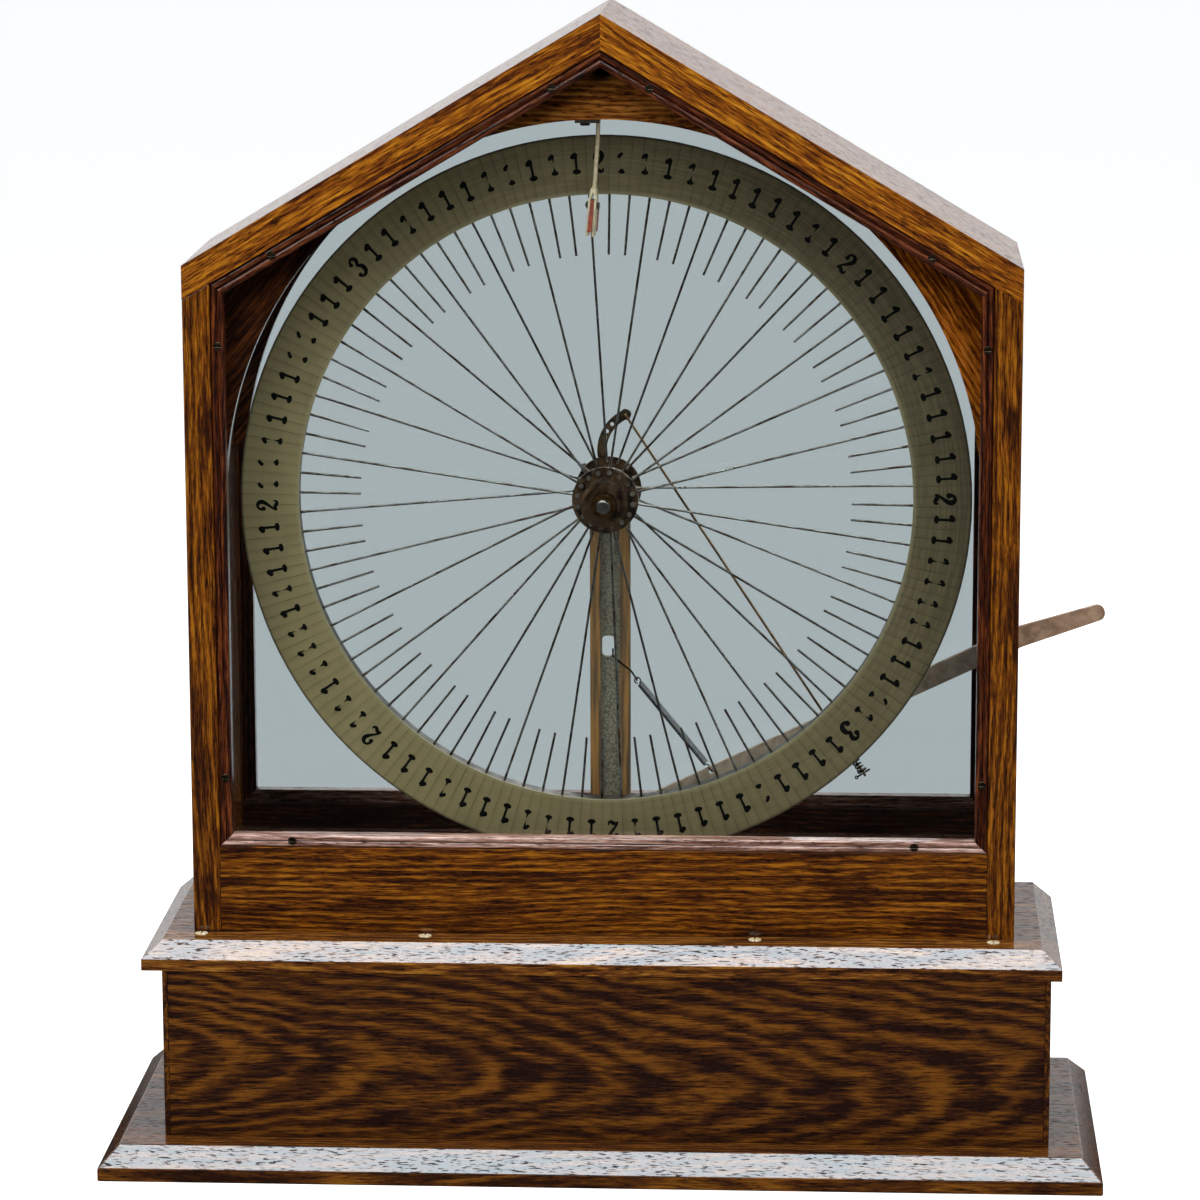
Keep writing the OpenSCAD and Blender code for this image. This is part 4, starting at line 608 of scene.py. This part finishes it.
bracket_right_oak = oak("bracket_right_oak", (0, 58, 0), SHADED, at=(14, 2, 9), ring=3.5)
# The bottom bead is drawn light as a painted highlight
bead_flat_sheen_oak = oak("bead_oak_painted_sheen", (0, 0, 0), BEAD_SHEEN, at=(9, 4, 2), wild=4.0, patch=0.05, gloss=0.12)
bead_side_oak = oak("bead_side_oak", (0, 90, 0), RED, at=(1, 8, 5), wild=4.0, patch=0.05, gloss=0.18)
bead_left_oak = oak("bead_left_oak", (0, -ROOF_PITCH, 0), RED, at=(6, 6, 2),
                    wild=4.0, patch=0.05, gloss=0.18)
bead_right_oak = oak("bead_right_oak", (0, ROOF_PITCH, 0), RED, at=(2, 3, 7),
                     wild=4.0, patch=0.05, gloss=0.18)

pane = drawn_glass()
dial_brass = lacquered_brass()
spoke_wire = drawn_wire()
lever_bar = forged_bar()
post_casting = cast_iron()
leather = tanned_leather()
enamel = stamped_enamel()
# Turned brass screws, polished: pale straw heads that read as light dots on the oak. The pale straw is
# partly the polished brass and partly a painted highlight
screw_brass = worn_metal("screw_brass_painted_highlight", ("#efe0bd", "#b39a70"), 4, (0.4, 0.6), metallic=0.3)
# Rolled brass plate, tarnished: ochre with brown clouds
plate_brass = worn_metal("tarnished_plate_brass", ("#a97f3c", "#5a3f1e"), 4, (0.3, 0.5))
# Rolled steel rim, black japan worn thin: warm grey and dark brown in large patches
rim_steel = worn_metal("japanned_rim_steel", ("#5d5850", "#3f372e"), 10, (0.35, 0.55), (0.35, 0.7))
# Turned steel, bare: clean grey with duller spots
turned_steel = worn_metal("turned_steel", ("#8d8a80", "#5c574a"), 6, (0.25, 0.42))
# Turned hub steel under old oil: brown with near-black blotches
hub_steel = worn_metal("oiled_hub_steel", ("#7d6248", "#2c2119"), 7, (0.16, 0.3), (0.38, 0.6), 0.75)
# Turned and browned steel: an amber ring round the axle
cone_steel = worn_metal("browned_cone_steel", ("#94683a", "#4c3420"), 5, (0.2, 0.4))
# Cut steel blacked in oil: near black with brown worn places
blued_steel = worn_metal("oil_blacked_steel", ("#4b3e30", "#1f1914"), 6, (0.25, 0.45), metallic=0.6)
# Forged flat bar under old oil: dark brown with soft lighter wear
arm_steel = worn_metal("oiled_bar_steel", ("#665238", "#2d2318"), 8, (0.25, 0.45), metallic=0.55)
# Drawn wire with a wash of brass: a thin golden line with brown stains
rod_wire = worn_metal("brassed_rod_wire", ("#c2a070", "#6f553a"), 14, (0.28, 0.45))
# Wound spring wire blacked in oil: black curls with a thin gleam on each
spring_wire = worn_metal("oil_blacked_spring_wire", ("#332820", "#14100d"), 5, (0.2, 0.35))
# Cut brass screws gone dark: dull brown heads that hardly shine
dark_screw = worn_metal("tarnished_wood_screw", ("#5b4d3b", "#221b14"), 3, (0.35, 0.55))
cream_nickel = yellowed_nickel(POINTER_FOOT)

# Case
dress("lower_plinth", plinth_oak, 0.9)
dress("upper_plinth", upper_oak, 0.8)
dress("box_front", box_oak, 0.7)
dress("box_back", box_oak, 0.7)
dress("box_left", box_end_oak, 0.7)
dress("box_right", box_end_oak, 0.7)
paint("box_cleats", plinth_oak)
dress("side_left", side_oak, 0.8)
dress("side_right", side_oak, 0.8)
dress("roof_left", roof_left_oak, 0.9)
dress("roof_right", roof_right_oak, 0.9)
dress("rail_front", rail_oak, 0.7)
dress("rail_back", back_rail_oak, 0.7)
dress("gable_front", gable_oak, 0.5)
dress("gable_back", gable_oak, 0.5)
dress("bracket_front_left", bracket_left_oak, 0.5)
dress("bracket_front_right", bracket_right_oak, 0.5)
dress("bracket_back_left", bracket_left_oak, 0.5)
dress("bracket_back_right", bracket_right_oak, 0.5)


def dress_beads(node):
    """The double beads, each strip with its own grain direction."""
    # The bottom strip takes the oak with the painted highlight
    piece = dress(node, bead_flat_sheen_oak, 0, sharp=50)
    for strip in (bead_side_oak, bead_left_oak, bead_right_oak):
        piece.data.materials.append(strip)
    for face in piece.data.polygons:
        x, _, z = face.center / MM
        if z < RAIL_TOP + BEAD_STRIP and abs(x) < BEAD_INNER:
            face.material_index = 0
        elif abs(x) > BEAD_SIDE:
            face.material_index = 1
        elif x < 0:
            face.material_index = 2
        else:
            face.material_index = 3


dress_beads("beads_front")
dress_beads("beads_back")
paint("glass_front", pane)
paint("glass_back", pane)
dress("plinth_screws", screw_brass, 0.15, 1)
dress("slot_plate_screws", screw_brass, 0.15, 1)
dress("slot_plate", plate_brass, 0.3)
dress("bead_screws", dark_screw, 0.2, 1)
dress("arch_screws", dark_screw, 0.2, 1)
dress("post_screws", dark_screw, 0.2, 1)

# Wheel and drive
dress("dial_plate", dial_brass, 0.2)
dress("rim", rim_steel, 0.2)
dress("hub_shell", hub_steel, 0.3)
dress("dust_cap", hub_steel, 0.1)
paint("bearing_balls", turned_steel)
dress("cones", cone_steel, 0.25)
dress("axle", turned_steel, 0.0)
dress("axle_nut", turned_steel, 0.4)
dress("axle_spacer", turned_steel, 0.3)
dress("spokes_front", spoke_wire, 0.0)
dress("spokes_rear", spoke_wire, 0.0)
dress("stub_pins", spoke_wire, 0.0)
dress("ratchet_wheel", blued_steel, 0.1, 1)
dress("crank_arm", arm_steel, 0.35)
dress("pawl", blued_steel, 0.2, 1)
dress("post", post_casting, 0.7)
dress("lever", lever_bar, 0.5)
dress("rod_lug", turned_steel, 0.4)
dress("lever_bolt", turned_steel, 0.3)
dress("pull_rod", rod_wire, 0.0)
dress("rod_washer", blued_steel, 0.1, 1)
dress("cotter_pin", blued_steel, 0.0)
dress("spring_link", spring_wire, 0.0)
dress("pointer", cream_nickel, 0.2)
dress("pointer_screw", dark_screw, 0.3)
dress("flap_bolt", turned_steel, 0.2)
dress("flap", leather, 0.4)


# Springs

def coil(start, end, radius, curls, per_curl):
    """Points along a coil from start to end, and its three directions."""
    along = (end - start).normalized()
    across = along.cross(Vector((0, 1, 0))).normalized()
    third = along.cross(across)
    points = []
    for i in range(curls * per_curl + 1):
        a = 2 * math.pi * i / per_curl
        points.append(start + (end - start) * i / (curls * per_curl)
                      + radius * (math.cos(a) * third + math.sin(a) * across))
    return points, along, across, third


def make_return_spring():
    """The long black tension spring from the post's wire link to the lever, hooked at each end."""
    top = Vector((19.1, 46, 281.2))
    foot = Vector((61.0, 46, 229.6))
    turns, along, across, third = coil(top, foot, 1.9, 50, 14)
    eye = [top - along * (2.5 + 1.9 * math.cos(math.radians(a))) + across * 1.9 * math.sin(math.radians(a))
           for a in range(215, 506, 20)]
    hook = [foot + along * (3.9 + 3.0 * math.cos(math.radians(a))) + third * 3.0 * math.sin(math.radians(a))
            for a in range(200, 500, 20)]
    spring = wire("return_spring_dressed", eye + [top - along * 0.5 + across * 0.4] + turns
                  + [foot + along * 0.6 + third * 0.9] + hook, 0.45)
    spring.data.materials.append(spring_wire)
    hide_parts("return_spring")
    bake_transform(spring)


def make_cushion_spring():
    """The short spring on the rod's end that takes up the lug's push."""
    hole = Vector((10.404, 41, 453.906))
    lug = Vector((140.09, 41, 257.03))
    along = (lug - hole).normalized()
    turns = coil(lug + along * 9.9, lug + along * 35.0, 2.45, 11, 18)[0]
    belongs(wire("rod_spring_dressed", turns, 0.55), "rod_spring", spring_wire)


make_return_spring()
make_cushion_spring()


# Figures on the number plate, about 13 mm tall, their tops outward

def figure(name, strokes, blots):
    """A stamped figure of pen strokes and blots in millimetres. A stroke point is across, up and width."""
    parts = []
    for points in strokes:
        parts.append(wire(name, [(x, 0, z) for x, z, wide in points], [wide / 2 for x, z, wide in points],
                          "BEZIER"))
    for x, z, wide, tall in blots:
        bpy.ops.mesh.primitive_uv_sphere_add(segments=16, ring_count=8, radius=MM / 2,
                                             location=(x * MM, 0, z * MM), scale=(wide, 1, tall))
        parts.append(bpy.context.object)
    made = join(parts, name)
    # Flattened to the thickness of paint
    made.data.transform(Matrix.Diagonal((1, 0.06, 1, 1)) @ made.matrix_world)
    made.matrix_world = Matrix()
    bpy.ops.object.shade_smooth()
    return made


FLAG = [(-2.7, 9.8, 1.5), (-1.9, 11.1, 2.4), (-0.5, 12.3, 2.4), (0.4, 12.8, 1.3)]
FOOT = [(0, 3.4, 1.5), (0, 2.2, 2.6)]
one = [FLAG, [(0, 12.4, 2.8), (-0.05, 9.0, 2.0), (0, 6.0, 1.8), (0, 3.4, 1.9)], FOOT]
half = [FLAG, [(0, 12.4, 2.2), (-0.05, 9.6, 1.0), (0, 8.0, 0.3)], [(0, 5.6, 0.3), (0, 3.4, 1.2)], FOOT]
worn = [FLAG, FOOT]
two = [[(-2.2, 9.6, 1.8), (-2.0, 11.6, 1.6), (-0.4, 13.1, 1.6), (1.7, 12.5, 2.5), (2.5, 10.6, 2.8),
        (1.6, 8.2, 2.3), (-0.5, 5.2, 1.5), (-2.3, 2.4, 1.3), (-2.6, 0.9, 1.2)],
       [(-2.6, 1.2, 1.3), (-1.4, 2.3, 2.1), (0.1, 1.9, 2.5), (1.5, 1.1, 2.3), (2.7, 1.4, 1.6),
        (3.0, 3.2, 0.8)]]
three = [[(-2.0, 11.0, 1.5), (-1.2, 12.6, 1.5), (0.5, 13.2, 1.8), (2.1, 12.0, 2.5), (2.0, 9.8, 2.4),
          (0.1, 7.8, 1.2)],
         [(0.1, 7.8, 1.2), (2.1, 6.6, 2.3), (2.8, 4.2, 2.8), (1.7, 1.5, 2.4), (-0.6, 0.7, 1.6),
          (-2.2, 1.7, 1.5)]]


def heavier(strokes, by):
    """The same strokes struck harder."""
    return [[(x, z, wide * by) for x, z, wide in points] for points in strokes]


PLAIN_BLOTS = [(-1.9, 10.6, 3.0, 3.0), (0, 1.5, 5.2, 3.2)]
KINDS = {
    "one": figure("figure_one", one, PLAIN_BLOTS),
    "half": figure("figure_one_half_worn", half, [(-1.8, 10.7, 2.2, 2.2), (0, 1.5, 4.4, 2.8)]),
    "worn": figure("figure_one_worn", worn, [(-1.8, 10.7, 2.2, 2.2), (0, 1.5, 4.2, 2.6)]),
    "bold": figure("figure_one_bold", one, [(-1.9, 10.7, 3.6, 3.4), (0, 1.6, 5.2, 3.4)]),
    "two": figure("figure_two", heavier(two, 1.15), [(-1.9, 9.5, 2.8, 2.8)]),
    "three": figure("figure_three", heavier(three, 1.2), [(-1.9, 10.7, 2.6, 2.6), (-2.0, 2.5, 2.8, 2.8)]),
    "bold two": figure("figure_two_bold", heavier(two, 1.45), [(-1.9, 9.5, 3.6, 3.6)]),
    "bold three": figure("figure_three_bold", heavier(three, 1.45),
                         [(-1.9, 10.7, 3.4, 3.4), (-2.0, 2.5, 3.6, 3.6)]),
}
PLACES = {
    "two": (0, 12, 48, 60, 72),
    "bold two": (24,),
    "three": (84,),
    "bold three": (36,),
    "worn": (1, 34, 41, 73, 74, 79, 80, 92),
    "half": (2, 4, 10, 18, 27, 28, 29, 30, 35, 47, 51, 52, 56, 61, 62, 64, 65, 66, 68, 75, 87, 91, 94),
    "bold": (19, 42, 53, 54, 67, 82),
}
# The stamper's hand drifted: figure number and how many degrees it stands off its place
DRIFT = ((0, 0.0), (5, 0.9), (12, 1.1), (22, 1.0), (24, 0.4), (28, 0.0), (36, -0.65), (40, -0.5),
         (48, -0.45), (54, 0.0), (60, 0.24), (72, -0.1), (84, -0.24), (96, 0.0))


def stamp_figures():
    """Ninety-six figures round the wheel's plate: mostly ones, with a few twos and threes."""
    made = []
    for j in range(FIGURES):
        kind = "one"
        for other, places in PLACES.items():
            if j in places:
                kind = other
        for (a, low), (b, high) in zip(DRIFT, DRIFT[1:]):
            if a <= j <= b:
                off = low + (high - low) * (j - a) / (b - a)
        off += 0.15 * math.sin(j * 12.9898)
        foot = FIGURE_FOOT + (1.6 if 13 <= j <= 23 else 0.0) + 0.4 * math.sin(j * 4.1)
        turn = Matrix.Rotation(math.radians(FIRST_FIGURE + PIN_STEP * j + off), 4, "Y")
        mesh = KINDS[kind].data.copy()
        mesh.transform(Matrix.Translation((0, (DIAL_FRONT - 0.01) * MM, AXLE_Z * MM)) @ turn
                       @ Matrix.Translation((0, 0, foot * MM)))
        copy = bpy.data.objects.new("figure", mesh)
        bpy.context.scene.collection.objects.link(copy)
        made.append(copy)
    for pattern in KINDS.values():
        bpy.data.objects.remove(pattern)
    figures = join(made, "dial_figures")
    figures.data.materials.clear()
    figures.data.materials.append(enamel)
    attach(figures, "wheel")


stamp_figures()
